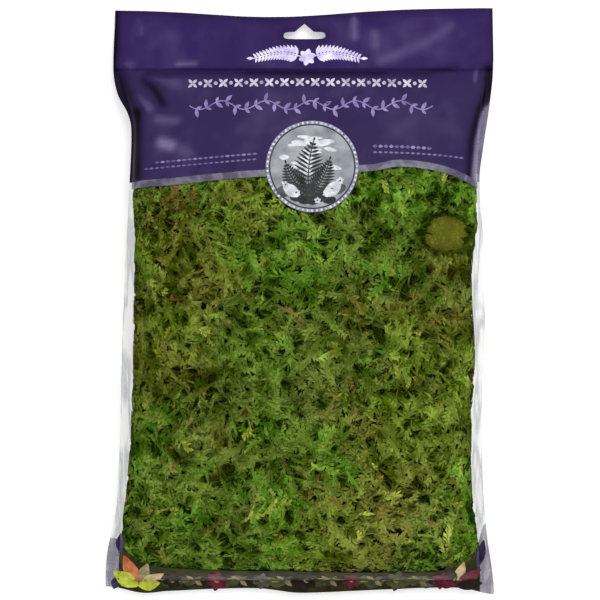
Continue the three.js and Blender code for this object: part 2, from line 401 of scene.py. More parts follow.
@dataclass
class Bench:
    """A bench for wiring the nodes of one material or group."""

    tree: Tree

    def feed(self, node: Node, feeds: Feeds) -> None:
        """Link or set a node's sockets.

        Args:
            node: The node.
            feeds: What goes into each socket: another socket to link, or a plain value.
        """
        for name, value in feeds.items():
            if isinstance(value, Socket):
                self.tree.links.new(value, node.inputs[name])
            else:
                node.inputs[name].default_value = value

    def add(self, kind: str, feeds: Feeds | None = None, **settings: object) -> Node:
        """Place a node.

        Args:
            kind: The node's type without its ShaderNode prefix.
            feeds: What goes into its sockets.
            settings: The node's own properties.

        Returns:
            The new node.
        """
        node = self.tree.nodes.new("ShaderNode" + kind)
        for name, value in settings.items():
            setattr(node, name, value)
        self.feed(node, feeds or {})
        return node

    def work(self, kind: str, first: object, second: object, clamp: bool = False) -> Socket:
        """Work out one value from two, kept from 0 to 1 if clamped, and return its socket."""
        feeds = {0: first, 1: second}
        return self.add("Math", feeds, operation=kind, use_clamp=clamp).outputs[0]

    def blend(self, share: object, first: object, second: object) -> Socket:
        """Mix two colours by a share, and return the colour's socket."""
        return self.add("Mix", {0: share, 6: first, 7: second}, data_type="RGBA").outputs[2]

    def remap(self, value: Socket, limits: Feeds) -> Socket:
        """Bring a value from one range to another, and return its socket."""
        return self.add("MapRange", {"Value": value, **limits}).outputs["Result"]

    def stored(self, name: str) -> Socket:
        """A number stored at the mesh's vertices."""
        return self.add("Attribute", attribute_name=name).outputs["Fac"]

    def bump(self, strength: float, distance: float, height: Socket) -> Socket:
        """Turn a height into a bumpy normal, and return its socket."""
        feeds = {"Strength": strength, "Distance": distance, "Height": height}
        return self.add("Bump", feeds).outputs["Normal"]

    def ramp(self, share: object, stops: Stops) -> Socket:
        """Read a colour off a row of colours.

        Args:
            share: Where along the row, from 0 to 1.
            stops: Each colour with its place, the lowest first.

        Returns:
            The colour's socket.
        """
        node = self.add("ValToRGB", {"Fac": share})
        colours = node.color_ramp.elements
        while len(colours) < len(stops):
            colours.new(1.0)
        for element, (place, colour) in zip(colours, stops):
            element.position, element.color = place, colour
        return node.outputs["Color"]

    def noise(self, place: object, scale: object, detail: float = 3.0) -> Socket:
        """Noise from 0 to 1 at a place, and its socket."""
        feeds = {"Vector": place, "Scale": scale, "Detail": detail}
        return self.add("TexNoise", feeds).outputs["Fac"]

    def place(self) -> Socket:
        """The object's own coordinates."""
        return self.add("TexCoord").outputs["Object"]


class Effect(Enum):
    """The effects that several materials share, each a node group."""

    CRUMPLE = "film_crumple"
    MOTTLE = "ink_mottle"
    FIBRE = "moss_fibre"

    def tree(self) -> Tree:
        """The effect's node group, built the first time it is asked for."""
        found = bpy.data.node_groups.get(self.value)
        return found or EFFECTS[self](self.value)

    def place(self, bench: Bench, place: Socket, **numbers: float) -> bpy.types.NodeOutputs:
        """Put the effect in a material, fed with a place and its numbers, and return its outputs."""
        return bench.add("Group", {"Place": place, **numbers}, node_tree=self.tree()).outputs


NewGroup = tuple[Bench, Node, Node]


def new_group(name: str, numbers: Sequence[str], outputs: dict[str, str]) -> NewGroup:
    """Start a node group with a place and some numbers going in.

    Args:
        name: The group's name.
        numbers: Names of its number inputs.
        outputs: Each output's name with its kind, Float or Color.

    Returns:
        The bench, the group's input node and its output node.
    """
    tree = bpy.data.node_groups.new(name, "ShaderNodeTree")
    face = tree.interface
    face.new_socket("Place", in_out="INPUT", socket_type="NodeSocketVector")
    for number in numbers:
        face.new_socket(number, in_out="INPUT", socket_type="NodeSocketFloat")
    for label, kind in outputs.items():
        face.new_socket(label, in_out="OUTPUT", socket_type="NodeSocket" + kind)
    return Bench(tree), tree.nodes.new("NodeGroupInput"), tree.nodes.new("NodeGroupOutput")


def crumple_group(name: str) -> Tree:
    """Wire the fine wrinkles of thin film: a height, and a mask of their ridges.

    Args:
        name: The group's name.

    Returns:
        The group.
    """
    bench, given, out = new_group(name, ["Scale"], {"Height": "Float", "Ridge": "Float"})
    place, scale = given.outputs["Place"], given.outputs["Scale"]
    coarse = bench.noise(place, scale, 2.0)
    fine = bench.noise(place, bench.work("MULTIPLY", scale, 3.7))
    fold = bench.work("ABSOLUTE", bench.work("SUBTRACT", coarse, 0.5), 0.0)
    ridge = bench.work("SUBTRACT", 1.0, bench.work("MULTIPLY", fold, 9.0))
    ridge = bench.work("MAXIMUM", ridge, 0.0, clamp=True)
    height = bench.work("ADD", ridge, bench.work("MULTIPLY", fine, 0.35))
    bench.feed(out, {"Height": height, "Ridge": ridge})
    return bench.tree


def mottle_group(name: str) -> Tree:
    """Wire the uneven lie of printed ink: a shift about zero.

    Args:
        name: The group's name.

    Returns:
        The group.
    """
    bench, given, out = new_group(name, ["Scale", "Amount"], {"Shift": "Float"})
    soft = bench.noise(given.outputs["Place"], given.outputs["Scale"], 4.0)
    shift = bench.work("MULTIPLY", bench.work("SUBTRACT", soft, 0.5), given.outputs["Amount"])
    bench.feed(out, {"Shift": shift})
    return bench.tree


def fibre_group(name: str) -> Tree:
    """Wire matted old stems: a height, and a shade from dark to pale.

    Args:
        name: The group's name.

    Returns:
        The group.
    """
    bench, given, out = new_group(name, ["Scale"], {"Height": "Float", "Shade": "Float"})
    place, scale = given.outputs["Place"], given.outputs["Scale"]
    bend = bench.add("TexNoise", {"Vector": place, "Scale": 90.0}).outputs["Color"]
    push = bench.add("VectorMath", {0: bend, 1: (0.012, 0.012, 0.012)}, operation="MULTIPLY")
    moved = bench.add("VectorMath", {0: place, 1: push.outputs[0]}, operation="ADD").outputs[0]
    cells = bench.add(
        "TexVoronoi", {"Vector": moved, "Scale": scale}, feature="DISTANCE_TO_EDGE"
    )
    line = bench.work("MULTIPLY", cells.outputs["Distance"], 3.2)
    grain = bench.noise(moved, bench.work("MULTIPLY", scale, 2.5))
    mat = bench.work("MULTIPLY", line, grain)
    bench.feed(out, {"Height": mat, "Shade": mat})
    return bench.tree


EFFECTS: dict[Effect, Callable[[str], Tree]] = {
    Effect.CRUMPLE: crumple_group,
    Effect.MOTTLE: mottle_group,
    Effect.FIBRE: fibre_group,
}


# Finishes


MADE: dict[str, Material] = {}


@dataclass(frozen=True)
class Finish:
    """A finish of the bag or the studio, and its material."""

    name: str

    def wire(self, bench: Bench) -> Feeds:
        """Wire the finish's nodes and tell what goes into the shader's sockets."""
        raise NotImplementedError

    def made(self) -> Material:
        """Give the finish's material, which is made only once.

        Returns:
            The material.
        """
        if self.name not in MADE:
            material = bpy.data.materials.new(self.name)
            material.use_nodes = True
            bench = Bench(material.node_tree)
            bench.feed(material.node_tree.nodes["Principled BSDF"], self.wire(bench))
            MADE[self.name] = material
        return MADE[self.name]


@dataclass(frozen=True)
class HeaderInk(Finish):
    """Purple ink on film, greyer low down, with painted shade in the creases and painted highlights on
    the folds.
    """

    # Painted shade colour for the creases and fold shadows.
    dark: Colour = paint(10, 4, 22)
    head: Colour = paint(48, 30, 84)
    body: Colour = paint(47, 36, 76)
    # Painted highlight colour for the folds.
    pale: Colour = paint(124, 112, 152)
    faint: Colour = paint(112, 100, 136)
    roughness: float = 0.42
    gloss: float = 0.05
    grey_to: float = 0.165
    purple_from: float = 0.185

    def wire(self, bench: Bench) -> Feeds:
        """Wire the finish's nodes.

        Args:
            bench: The bench on its material.

        Returns:
            What goes into the shader's sockets.
        """
        place = bench.place()
        height = bench.add("SeparateXYZ", {0: place}).outputs["Y"]
        up = bench.remap(height, {"From Min": self.grey_to, "From Max": self.purple_from})
        plain = bench.blend(up, self.body, self.head)
        shift = Effect.MOTTLE.place(bench, place, Scale=55.0, Amount=0.14)["Shift"]
        # Painted shade and painted highlights from the folds, with the ink's mottle added.
        painted_light = bench.work("ADD", bench.stored(PAINTED_LIGHT), shift)
        colour = bench.blend(bench.work("MULTIPLY", painted_light, -1.0, clamp=True), plain, self.dark)
        colour = bench.blend(bench.work("MULTIPLY", painted_light, 1.0, clamp=True), colour, self.pale)
        colour = bench.blend(bench.stored(THIN), colour, self.faint)
        wrinkles = Effect.CRUMPLE.place(bench, place, Scale=60.0)["Height"]
        rough = bench.work("ADD", bench.work("MULTIPLY", shift, 0.9), self.roughness)
        return {
            "Base Color": colour,
            "Roughness": rough,
            "Normal": bench.bump(0.25, 0.0005, wrinkles),
            "Specular IOR Level": self.gloss,
        }


@dataclass(frozen=True)
class FilmFinish(Finish):
    """Bare film, from nearly unseen to milky, with painted highlights and glints along its wrinkle
    ridges.
    """

    colour: Colour
    alpha: float
    edge_alpha: float
    roughness: float = 0.22
    wrinkle: float = 0.35
    scale: float = 110.0
    # Painted glints and painted highlights along the wrinkle ridges.
    glint_streak: float = 0.0
    ridge_highlight: float = 0.12
    gloss: float = 0.5
    stretch: float = 1.0
    highlight_white: Colour = paint(236, 236, 240)

    def wire(self, bench: Bench) -> Feeds:
        """Wire the finish's nodes.

        Args:
            bench: The bench on its material.

        Returns:
            What goes into the shader's sockets.
        """
        stretch = {"Vector": bench.place(), "Scale": (1.0, self.stretch, 1.0)}
        place = bench.add("Mapping", stretch).outputs["Vector"]
        crumple = Effect.CRUMPLE.place(bench, place, Scale=self.scale)
        height, ridge = crumple["Height"], crumple["Ridge"]
        facing = bench.add("LayerWeight", {"Blend": 0.18}).outputs["Facing"]
        slant = bench.work("POWER", facing, 3.0)
        seen = bench.work("MULTIPLY", slant, self.edge_alpha - self.alpha)
        alpha = bench.work("ADD", seen, self.alpha)
        # Painted glints: the film is made more opaque along its wrinkle ridges.
        glint_streak = bench.work("MULTIPLY", ridge, self.glint_streak)
        mottle = Effect.MOTTLE.place(bench, place, Scale=90.0, Amount=0.2)
        # Painted highlight: the colour is paled towards white along the ridges.
        pale = bench.work("MULTIPLY", ridge, self.ridge_highlight)
        return {
            "Base Color": bench.blend(pale, self.colour, self.highlight_white),
            "Roughness": bench.work("ADD", mottle["Shift"], self.roughness),
            "Alpha": bench.work("ADD", alpha, glint_streak, clamp=True),
            "Normal": bench.bump(self.wrinkle, 0.0006, height),
            "Specular IOR Level": self.gloss,
        }


@dataclass(frozen=True)
class PrintInk(Finish):
    """A printed colour with the uneven lie of flexo ink."""

    colour: Colour
    other: Colour
    scale: float = 140.0
    roughness: float = 0.4
    gloss: float = 0.12

    def wire(self, bench: Bench) -> Feeds:
        """Wire the finish's nodes.

        Args:
            bench: The bench on its material.

        Returns:
            What goes into the shader's sockets.
        """
        place = bench.place()
        shift = Effect.MOTTLE.place(bench, place, Scale=self.scale, Amount=3.2)["Shift"]
        share = bench.work("ADD", shift, 0.5, clamp=True)
        wrinkles = Effect.CRUMPLE.place(bench, place, Scale=90.0)["Height"]
        return {
            "Base Color": bench.blend(share, self.colour, self.other),
            "Roughness": bench.work("ADD", bench.work("MULTIPLY", shift, 0.08), self.roughness),
            "Normal": bench.bump(0.2, 0.0004, wrinkles),
            "Specular IOR Level": self.gloss,
        }


@dataclass(frozen=True)
class MossLeaf(Finish):
    """Dyed, dried moss leaves.

    The shoot map's U is a shoot's tone, and its V runs from the shoot's old foot to its young tip,
    scaled down by painted shade; low V blends into a near-black painted shade.
    """

    tips: Stops
    feet: Stops
    # Near-black painted shade for the pits between strands and the darkest shoots.
    shaded_pit: Colour = paint(7, 13, 0)
    lit_from: float = 0.3
    gloss: float = 0.02

    def wire(self, bench: Bench) -> Feeds:
        """Wire the finish's nodes.

        Args:
            bench: The bench on its material.

        Returns:
            What goes into the shader's sockets.
        """
        place = bench.add("UVMap", uv_map=SHOOT_MAP).outputs["UV"]
        parts = bench.add("SeparateXYZ", {0: place})
        tone, age_and_shade = parts.outputs["X"], parts.outputs["Y"]
        foot, tip = bench.ramp(tone, self.feet), bench.ramp(tone, self.tips)
        colour = bench.blend(bench.remap(age_and_shade, {"From Min": self.lit_from}), foot, tip)
        lit = bench.remap(age_and_shade, {"From Max": self.lit_from})
        return {
            "Base Color": bench.blend(lit, self.shaded_pit, colour),
            "Roughness": bench.remap(age_and_shade, {"To Min": 0.9, "To Max": 0.6}),
            "Specular IOR Level": self.gloss,
        }


@dataclass(frozen=True)
class MossBed(Finish):
    """The dark matted bed under the shoots: old brown stems with green showing through."""

    dark: Colour
    pale: Colour
    patch: Colour
    relief: float = 0.9
    # Painted shade colour, laid on by the stored painted light, on the cushion's creases and low sides.
    crease_shade: Colour = paint(50, 48, 8)
    roughness: float = 0.9
    gloss: float = 0.01

    def wire(self, bench: Bench) -> Feeds:
        """Wire the finish's nodes.

        Args:
            bench: The bench on its material.

        Returns:
            What goes into the shader's sockets.
        """
        place = bench.place()
        fibre = Effect.FIBRE.place(bench, place, Scale=300.0)
        mottle = Effect.MOTTLE.place(bench, place, Scale=70.0, Amount=3.0)
        patchy = bench.work("ADD", mottle["Shift"], 0.4, clamp=True)
        shade = bench.work("MULTIPLY", fibre["Shade"], 1.4, clamp=True)
        colour = bench.blend(shade, self.dark, bench.blend(patchy, self.pale, self.patch))
        return {
            # Painted shade where the painted light attribute is stored.
            "Base Color": bench.blend(bench.stored(PAINTED_LIGHT), colour, self.crease_shade),
            "Normal": bench.bump(self.relief, 0.002, fibre["Height"]),
            "Roughness": self.roughness,
            "Specular IOR Level": self.gloss,
        }


TONES = (0.0, 0.14, 0.28, 0.42, 0.56, 0.70, 0.86, 1.0)


def tone_row(*colours: tuple[float, float, float]) -> Stops:
    """Set a row of colours at the tones' places."""
    return tuple((tone, paint(*colour)) for tone, colour in zip(TONES, colours))


@dataclass(frozen=True)
class StudioWhite(Finish):
    """The plain white of the studio floor, which glows a little."""

    white: Colour = (0.97, 0.97, 0.97, 1.0)
    roughness: float = 0.8
    shaded_brightness: Colour = (1.0, 1.0, 1.0, 1.0)
    strength: float = 0.3

    def wire(self, bench: Bench) -> Feeds:
        """The white and its glow, with nothing to wire."""
        shaded_brightness = {"Emission Color": self.shaded_brightness, "Emission Strength": self.strength}
        return {"Base Color": self.white, "Roughness": self.roughness, **shaded_brightness}


GREEN_LEAF = MossLeaf(
    "moss_leaf_green",
    tone_row((143, 115, 65), (137, 121, 64), (141, 142, 64), (119, 136, 57),
             (132, 154, 62), (119, 164, 55), (155, 187, 73), (192, 196, 97)),
    tone_row((64, 46, 8), (62, 54, 4), (66, 68, 0), (44, 62, 0),
             (52, 78, 0), (44, 84, 0), (66, 104, 0), (100, 108, 8)),
)
OLIVE_LEAF = MossLeaf(
    "moss_leaf_olive",
    tone_row((148, 118, 67), (143, 123, 65), (148, 142, 65), (130, 138, 59),
             (141, 152, 62), (135, 162, 59), (164, 185, 75), (195, 195, 99)),
    tone_row((68, 48, 8), (68, 56, 4), (72, 68, 0), (54, 62, 0),
             (62, 76, 0), (58, 82, 0), (78, 102, 0), (104, 108, 10)),
)
GREEN_BED = MossBed("moss_bed_green", paint(26, 38, 0), paint(62, 80, 4), paint(66, 70, 6))
OLIVE_BED = MossBed("moss_bed_olive", paint(30, 34, 0), paint(70, 76, 6), paint(76, 66, 10))
CUSHION_BED = MossBed(
    "moss_cushion", paint(90, 92, 22), paint(122, 132, 46), paint(110, 104, 40), relief=0.5
)
CLEAR_FILM = FilmFinish("clear_film", paint(60, 66, 56), 0.004, 0.4, gloss=0.4)
WELD_FILM = FilmFinish(
    "weld_film", paint(120, 122, 132), 0.025, 0.4, glint_streak=0.15, scale=150.0, stretch=0.1
)
PALE_INK = FilmFinish("pale_ink", paint(92, 87, 110), 0.62, 0.85, glint_streak=0.15, scale=60.0, gloss=0.2)
CORNER_FILM = FilmFinish(
    "corner_film", paint(92, 84, 108), 0.4, 0.7, glint_streak=0.25, scale=110.0, stretch=0.25
)
THIN_INK = FilmFinish(
    "thin_ink", paint(104, 92, 128), 0.5, 0.8, glint_streak=0.2, scale=60.0, gloss=0.2, stretch=0.2
)
FOOT_INK = PrintInk("foot_ground", paint(58, 54, 24), paint(34, 34, 12), 110.0, gloss=0.05)
HEADER_INK = HeaderInk("header_ink")


# Film panels


@dataclass(frozen=True)
class PanelGrid:
    """How a flat grid is laid over the bag.

    It has weld columns at both sides, and its rows lie in zones between lines that run across the bag.
    """

    lines: tuple[Curve, ...]
    rows: tuple[int, ...]
    belly_columns: int
    weld_columns: int = 3
    crowding: float = 0.55

    @property
    def columns(self) -> int:
        """All columns."""
        return self.belly_columns + 2 * self.weld_columns

    def to_x(self, form: BagForm, column: Array, y: Array) -> Array:
        """Where a column stands across the bag.

        Args:
            form: The bag's form.
            column: Each corner's column.
            y: Its place along the bag.

        Returns:
            Its place across the bag.
        """
        weld, belly = self.weld_columns, self.belly_columns
        outer_left, outer_right = form.left_edge.at(y), form.right_edge.at(y)
        left, right = form.shoulders(y)
        t = np.clip((column - weld) / belly, 0, 1)
        t = self.crowding * (0.5 - 0.5 * np.cos(np.pi * t)) + (1 - self.crowding) * t
        x = left + (right - left) * t
        x = np.where(column < weld, outer_left + (left - outer_left) * column / weld, x)
        over = (column - weld - belly) / weld
        return np.where(over > 0, right + (outer_right - right) * over, x)

    def to_y(self, row: Array, x: Array) -> Array:
        """Where a row stands along the bag.

        Args:
            row: Each corner's row.
            x: Its place across the bag.

        Returns:
            Its place along the bag.
        """
        y, start = self.lines[0].at(x), 0
        for count, low, high in zip(self.rows, self.lines, self.lines[1:]):
            share = np.clip((row - start) / count, 0, 1)
            y, start = y + (high.at(x) - low.at(x)) * share, start + count
        return y

    def lay(self, form: BagForm, column: Array, row: Array) -> tuple[Array, Array]:
        """Find where the grid's corners go.

        Args:
            form: The bag's form.
            column: Each corner's column.
            row: Each corner's row.

        Returns:
            The places across and along the bag.
        """
        x = np.zeros(len(column))
        for _ in range(5):
            y = self.to_y(row, x)
            x = self.to_x(form, column, y)
        return x, self.to_y(row, x)

    def zone(self, column: int, row: int) -> tuple[int, int]:
        """The zone of a face: -1, 0 or 1 across, and its rows' index along."""
        side = (column >= self.columns - self.weld_columns) - (column < self.weld_columns)
        return int(side), int(np.searchsorted(np.cumsum(self.rows), row, side="right"))


def put_in_scene(name: str, data: bpy.types.ID) -> Piece:
    """Show a mesh, a lamp or a camera in the scene.

    Args:
        name: The object's name.
        data: What it shows.

    Returns:
        The object.
    """
    shown = bpy.data.objects.new(name, data)
    bpy.context.scene.collection.objects.link(shown)
    return shown


def as_object(bm: Draft, name: str, scale: float = MM) -> Piece:
    """Turn a bmesh into an object.

    Args:
        bm: The mesh, which is freed.
        name: The object's name.
        scale: The size in metres of one unit of the mesh.

    Returns:
        The object, at the origin.
    """
    bmesh.ops.scale(bm, vec=(scale, scale, scale), verts=bm.verts[:])
    mesh = bpy.data.meshes.new(name)
    bm.to_mesh(mesh)
    bm.free()
    return put_in_scene(name, mesh)


def finish_piece(
    bm: Draft, name: str, finishes: Sequence[Finish], smooth: bool = True
) -> Piece:
    """Turn a bmesh in millimetres into a finished piece of the bag.

    Args:
        bm: The mesh, which is freed.
        name: The piece's name.
        finishes: Its finishes, in the order of the faces' indices.
        smooth: Whether its faces are shaded smoothly.

    Returns:
        The object, at the origin.
    """
    for face in bm.faces:
        face.smooth = smooth
    piece = as_object(bm, name)
    for finish in finishes:
        piece.data.materials.append(finish.made())
    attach(piece, "root")
    return piece


def report(piece: Piece) -> None:
    """Log a finished piece with its triangles."""
    count = sum(len(face.vertices) - 2 for face in piece.data.polygons)
    LOG.info("%s: %d triangles", piece.name, count)


def points_of(bm: Draft) -> Array:
    """A bmesh's vertices, one row of x, y and z each."""
    return np.array([v.co[:] for v in bm.verts])


def set_points(bm: Draft, x: Array, y: Array, z: Array) -> None:
    """Move a bmesh's vertices to new places."""
    for vertex, point in zip(bm.verts, zip(x, y, z)):
        vertex.co = point


def store(bm: Draft, name: str, values: Array) -> None:
    """Store a number at each vertex of a bmesh.

    Args:
        bm: The mesh.
        name: The attribute's name.
        values: Each vertex's number.
    """
    layer = bm.verts.layers.float.new(name)
    for vertex, value in zip(bm.verts, values):
        vertex[layer] = value


def thicken(bm: Draft, thickness: float) -> None:
    """Give a sheet of faces its thickness."""
    bm.normal_update()
    bmesh.ops.solidify(bm, geom=bm.verts[:] + bm.edges[:] + bm.faces[:], thickness=thickness)


def spread(low: Array, high: Array, share: Array) -> Array:
    """Places from one side to the other, closer together at both."""
    return (low + high) / 2 + (high - low) / 2 * np.sin(share)


class Side(Enum):
    """The two faces of the bag."""

    FRONT = "front"
    BACK = "back"

    @property
    def sign(self) -> int:
        """Which way the side looks: up for the front, down for the back."""
        return 1 if self is Side.FRONT else -1


class Print(IntEnum):
    """What a face of the film carries, in the order of the panel's finishes."""

    FOOT = 0
    CLEAR = 1
    PALE = 2
    HEADER = 3
    WELD = 4
    THIN = 5
    CORNER = 6


@dataclass
class FilmPanel:
    """One panel of the bag's film, printed at the head."""

    form: BagForm
    relief: FilmRelief
    side: Side
    grid: PanelGrid
    thickness: float = 0.3
    thin_above: float = 0.75
    finishes: tuple[Finish, ...] = (
        FOOT_INK, CLEAR_FILM, PALE_INK, HEADER_INK, WELD_FILM, THIN_INK, CORNER_FILM
    )

    def height(self, x: Array, y: Array) -> Array:
        """The outer face of the panel, with its folds."""
        return self.relief.front_face(x, y) if self.side is Side.FRONT else self.relief.back_face(x, y)

    def carries(self, column: int, row: int) -> Print:
        """What a face of the grid carries.

        Args:
            column: The face's column.
            row: The face's row.

        Returns:
            Its print, or the bare film.
        """
        side, zone = self.grid.zone(column, row)
        last = len(self.grid.rows) - 1
        if zone == last:
            return Print.HEADER
        if self.side is Side.BACK:
            return Print.WELD if side or zone == 0 else Print.CLEAR
        if zone <= 1:
            return Print.CORNER if side else Print.FOOT
        if side:
            return Print.WELD
        return Print.PALE if zone == last - 1 else Print.CLEAR

    def build(self, name: str, node: str) -> Piece:
        """Make the panel.

        Args:
            name: The piece's name.
            node: The solid it stands for.

        Returns:
            The finished piece.
        """
        columns, rows = self.grid.columns, sum(self.grid.rows)
        bm = bmesh.new()
        bmesh.ops.create_grid(bm, x_segments=columns, y_segments=rows, size=1.0)
        flat = (points_of(bm) + 1) / 2
        column, row = np.rint(flat[:, 0] * columns), np.rint(flat[:, 1] * rows)
        for face in bm.faces:
            middle = face.calc_center_median()
            face.material_index = self.carries(
                int((middle.x + 1) / 2 * columns), int((middle.y + 1) / 2 * rows)
            )
        x, y = self.grid.lay(self.form, column, row)
        set_points(bm, x, y, self.height(x, y))
        thin = self.relief.thin(x, y)
        store(bm, PAINTED_LIGHT, self.relief.painted_light(x, y))
        store(bm, THIN, thin)
        bm.verts.index_update()
        for face in bm.faces:
            faint = sum(thin[v.index] for v in face.verts) / len(face.verts) > self.thin_above
            if faint and face.material_index == Print.HEADER:
                face.material_index = Print.THIN
        if self.side is Side.BACK:
            bmesh.ops.reverse_faces(bm, faces=bm.faces[:])
        thicken(bm, self.thickness)
        piece = finish_piece(bm, name, self.finishes)
        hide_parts(node)
        return piece


@dataclass
class Header:
    """The flat hang header: both panels welded into one, printed all over, with a peg slot."""

    form: BagForm
    relief: FilmRelief
    columns: int = 112
    rows: int = 20
    thickness: float = 1.1
    slot_at: Spot = (3.4, 203.8)
    slot_half: Spot = (16.0, 2.8)
    slot_crown: float = 6.4
    crown_width: float = 5.2
    slot_round: Spot = (0.34, 0.6)
    peg_half: float = 30.0

    def cutter(self) -> Piece:
        """Make a peg through the slot, to cut it out: a rounded bar with a small crown.

        Returns:
            The peg.
        """
        bm = bmesh.new()
        made = bmesh.ops.create_circle(bm, cap_ends=True, segments=64, radius=1.0)
        wide, high = self.slot_half
        for vertex in made["verts"]:
            c, s = vertex.co.x, vertex.co.y
            x = math.copysign(abs(c) ** self.slot_round[0], c) * wide
            y = math.copysign(abs(s) ** self.slot_round[1], s) * high
            if s > 0:
                y += self.slot_crown * math.exp(-((x / self.crown_width) ** 4)) * min(1, s * 3)
            vertex.co = (x + self.slot_at[0], y + self.slot_at[1], -self.peg_half)
        made = bmesh.ops.extrude_face_region(bm, geom=bm.faces[:])
        moved = [g for g in made["geom"] if isinstance(g, bmesh.types.BMVert)]
        bmesh.ops.translate(bm, vec=(0, 0, 2 * self.peg_half), verts=moved)
        bmesh.ops.recalc_face_normals(bm, faces=bm.faces[:])
        return as_object(bm, "slot_peg")

    def build(self) -> Piece:
        """Make the header and cut its slot.

        Returns:
            The finished piece.
        """
        bm = bmesh.new()
        bmesh.ops.create_grid(bm, x_segments=self.columns, y_segments=self.rows, size=1.0)
        flat = (points_of(bm) + 1) / 2
        y = self.form.top_weld + flat[:, 1] * 45
        for _ in range(4):
            left, right = self.form.left_edge.at(y), self.form.right_edge.at(y)
            x = left + (right - left) * flat[:, 0]
            y = self.form.top_weld + flat[:, 1] * (self.form.header_top(x) - self.form.top_weld)
        set_points(bm, x, y, self.relief.welded(x, y))
        store(bm, PAINTED_LIGHT, self.relief.painted_light(x, y))
        store(bm, THIN, self.relief.thin(x, y))
        thicken(bm, self.thickness)
        piece = finish_piece(bm, "header_panel", [HEADER_INK])
        peg = self.cutter()
        cut = piece.modifiers.new("slot", "BOOLEAN")
        cut.operation, cut.object, cut.solver = "DIFFERENCE", peg, "EXACT"
        bpy.context.view_layer.update()
        shaped = piece.evaluated_get(bpy.context.evaluated_depsgraph_get())
        ready = bpy.data.meshes.new_from_object(shaped)
        piece.modifiers.clear()
        piece.data = ready
        bpy.data.objects.remove(peg)
        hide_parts("hang_header")
        return piece


# Printed ornament


Surface = Callable[[Array, Array], Array]


def heading(start: Spot, end: Spot) -> float:
    """The direction from one place to another, in degrees."""
    return math.degrees(math.atan2(end[1] - start[1], end[0] - start[0]))


@dataclass
class InkDrawing:
    """Flat printed shapes, drawn in plan in millimetres and then laid on the film.

    Later layers lie on top.
    """

    name: str
    inks: Sequence[PrintInk]
    layer: int = 0
    layer_lift: float = 0.06
    longest: float = 2.4
    thickness: float = 0.08
    foot_heavy: float = 0.25
    bm: Draft = field(default_factory=bmesh.new)

    def place(self, verts: Sequence[bmesh.types.BMVert], ink: int, matrix: Matrix) -> None:
        """Move a fresh shape to its place and ink it.

        Args:
            verts: The shape's vertices.
            ink: Its ink's index.
            matrix: Where it goes.
        """
        lift = Matrix.Translation((0, 0, self.layer_lift * self.layer))
        bmesh.ops.transform(self.bm, matrix=lift @ matrix, verts=list(verts))
        for vertex in verts:
            for face in vertex.link_faces:
                face.material_index = ink

    def circle(self, segments: int, radius: float) -> Sequence[bmesh.types.BMVert]:
        """A round shape at the origin, and its vertices."""
        shape = {"cap_ends": True, "cap_tris": True, "segments": segments, "radius": radius}
        return bmesh.ops.create_circle(self.bm, **shape)["verts"]

    def leaf(
        self, at: Spot, angle: float, length: float, width: float, ink: int, point: float = 0.55
    ) -> None:
        """Draw a leaf from its foot.

        Args:
            at: The leaf's foot.
            angle: Its direction, in degrees.
            length: Its length.
            width: Its greatest width.
            ink: Its ink's index.
            point: How pointed its ends are, from 0 for an ellipse.
        """
        verts = self.circle(16, 0.5)
        for vertex in verts:
            vertex.co.y *= 1 - point * abs(2 * vertex.co.x) ** 1.5
            vertex.co.y *= 1 - self.foot_heavy * vertex.co.x
        turn = Matrix.Rotation(math.radians(angle), 4, "Z")
        size = Matrix.Diagonal((length, width, 1, 1))
        move = Matrix.Translation((*at, 0)) @ turn @ Matrix.Translation((length / 2, 0, 0)) @ size
        self.place(verts, ink, move)

    def dot(self, at: Spot, radius: float, ink: int, segments: int = 16) -> None:
        """Draw a round dot about its middle, with so many sides."""
        self.place(self.circle(segments, radius), ink, Matrix.Translation((*at, 0)))

    def stem(self, path: Sequence[Spot], width: float, ink: int) -> None:
        """Draw a line of even width along a chain of points.

        Args:
            path: The points.
            width: The line's width.
            ink: Its ink's index.
        """
        count = len(path) - 1
        made = bmesh.ops.create_grid(self.bm, x_segments=count, y_segments=1, size=0.5)
        points = [Vector(p) for p in path]
        for vertex in made["verts"]:
            i = round((vertex.co.x + 0.5) * count)
            run = (points[min(i + 1, count)] - points[max(i - 1, 0)]).normalized()
            side = Vector((-run.y, run.x)) * vertex.co.y * width
            vertex.co = (*(points[i] + side), 0)
        self.place(made["verts"], ink, Matrix.Identity(4))

    def blossom(self, at: Spot, radius: float, petals: int, ink: int, heart: int) -> None:
        """Draw a blossom of round petals about a heart.

        Args:
            at: Its middle.
            radius: How far the petals reach.
            petals: How many there are.
            ink: The petals' ink.
            heart: The heart's ink.
        """
        for k in range(petals):
            self.leaf(at, 360 / petals * k + 18, radius, radius * 0.72, ink, 0.25)
        self.layer += 1
        self.dot(at, radius * 0.26, heart, 10)
        self.layer -= 1

    def lay(self, surface: Surface, lift: float = 0.28) -> Piece:
        """Lay the drawing on the film.

        Args:
            surface: The film's outer height at each place.
            lift: How far the ink stands off it.

        Returns:
            The finished piece.
        """
        bm = self.bm
        for _ in range(4):
            long = [e for e in bm.edges if e.calc_length() > self.longest]
            if long:
                bmesh.ops.subdivide_edges(bm, edges=long, cuts=1, use_grid_fill=True)
        bmesh.ops.triangulate(bm, faces=[f for f in bm.faces if len(f.verts) > 4])
        x, y, z = points_of(bm).T
        set_points(bm, x, y, surface(x, y) + lift + z)
        for face in bm.faces:
            face.normal_update()
        bmesh.ops.reverse_faces(bm, faces=[f for f in bm.faces if f.normal.z < 0])
        thicken(bm, self.thickness)
        return finish_piece(bm, self.name, self.inks, smooth=False)


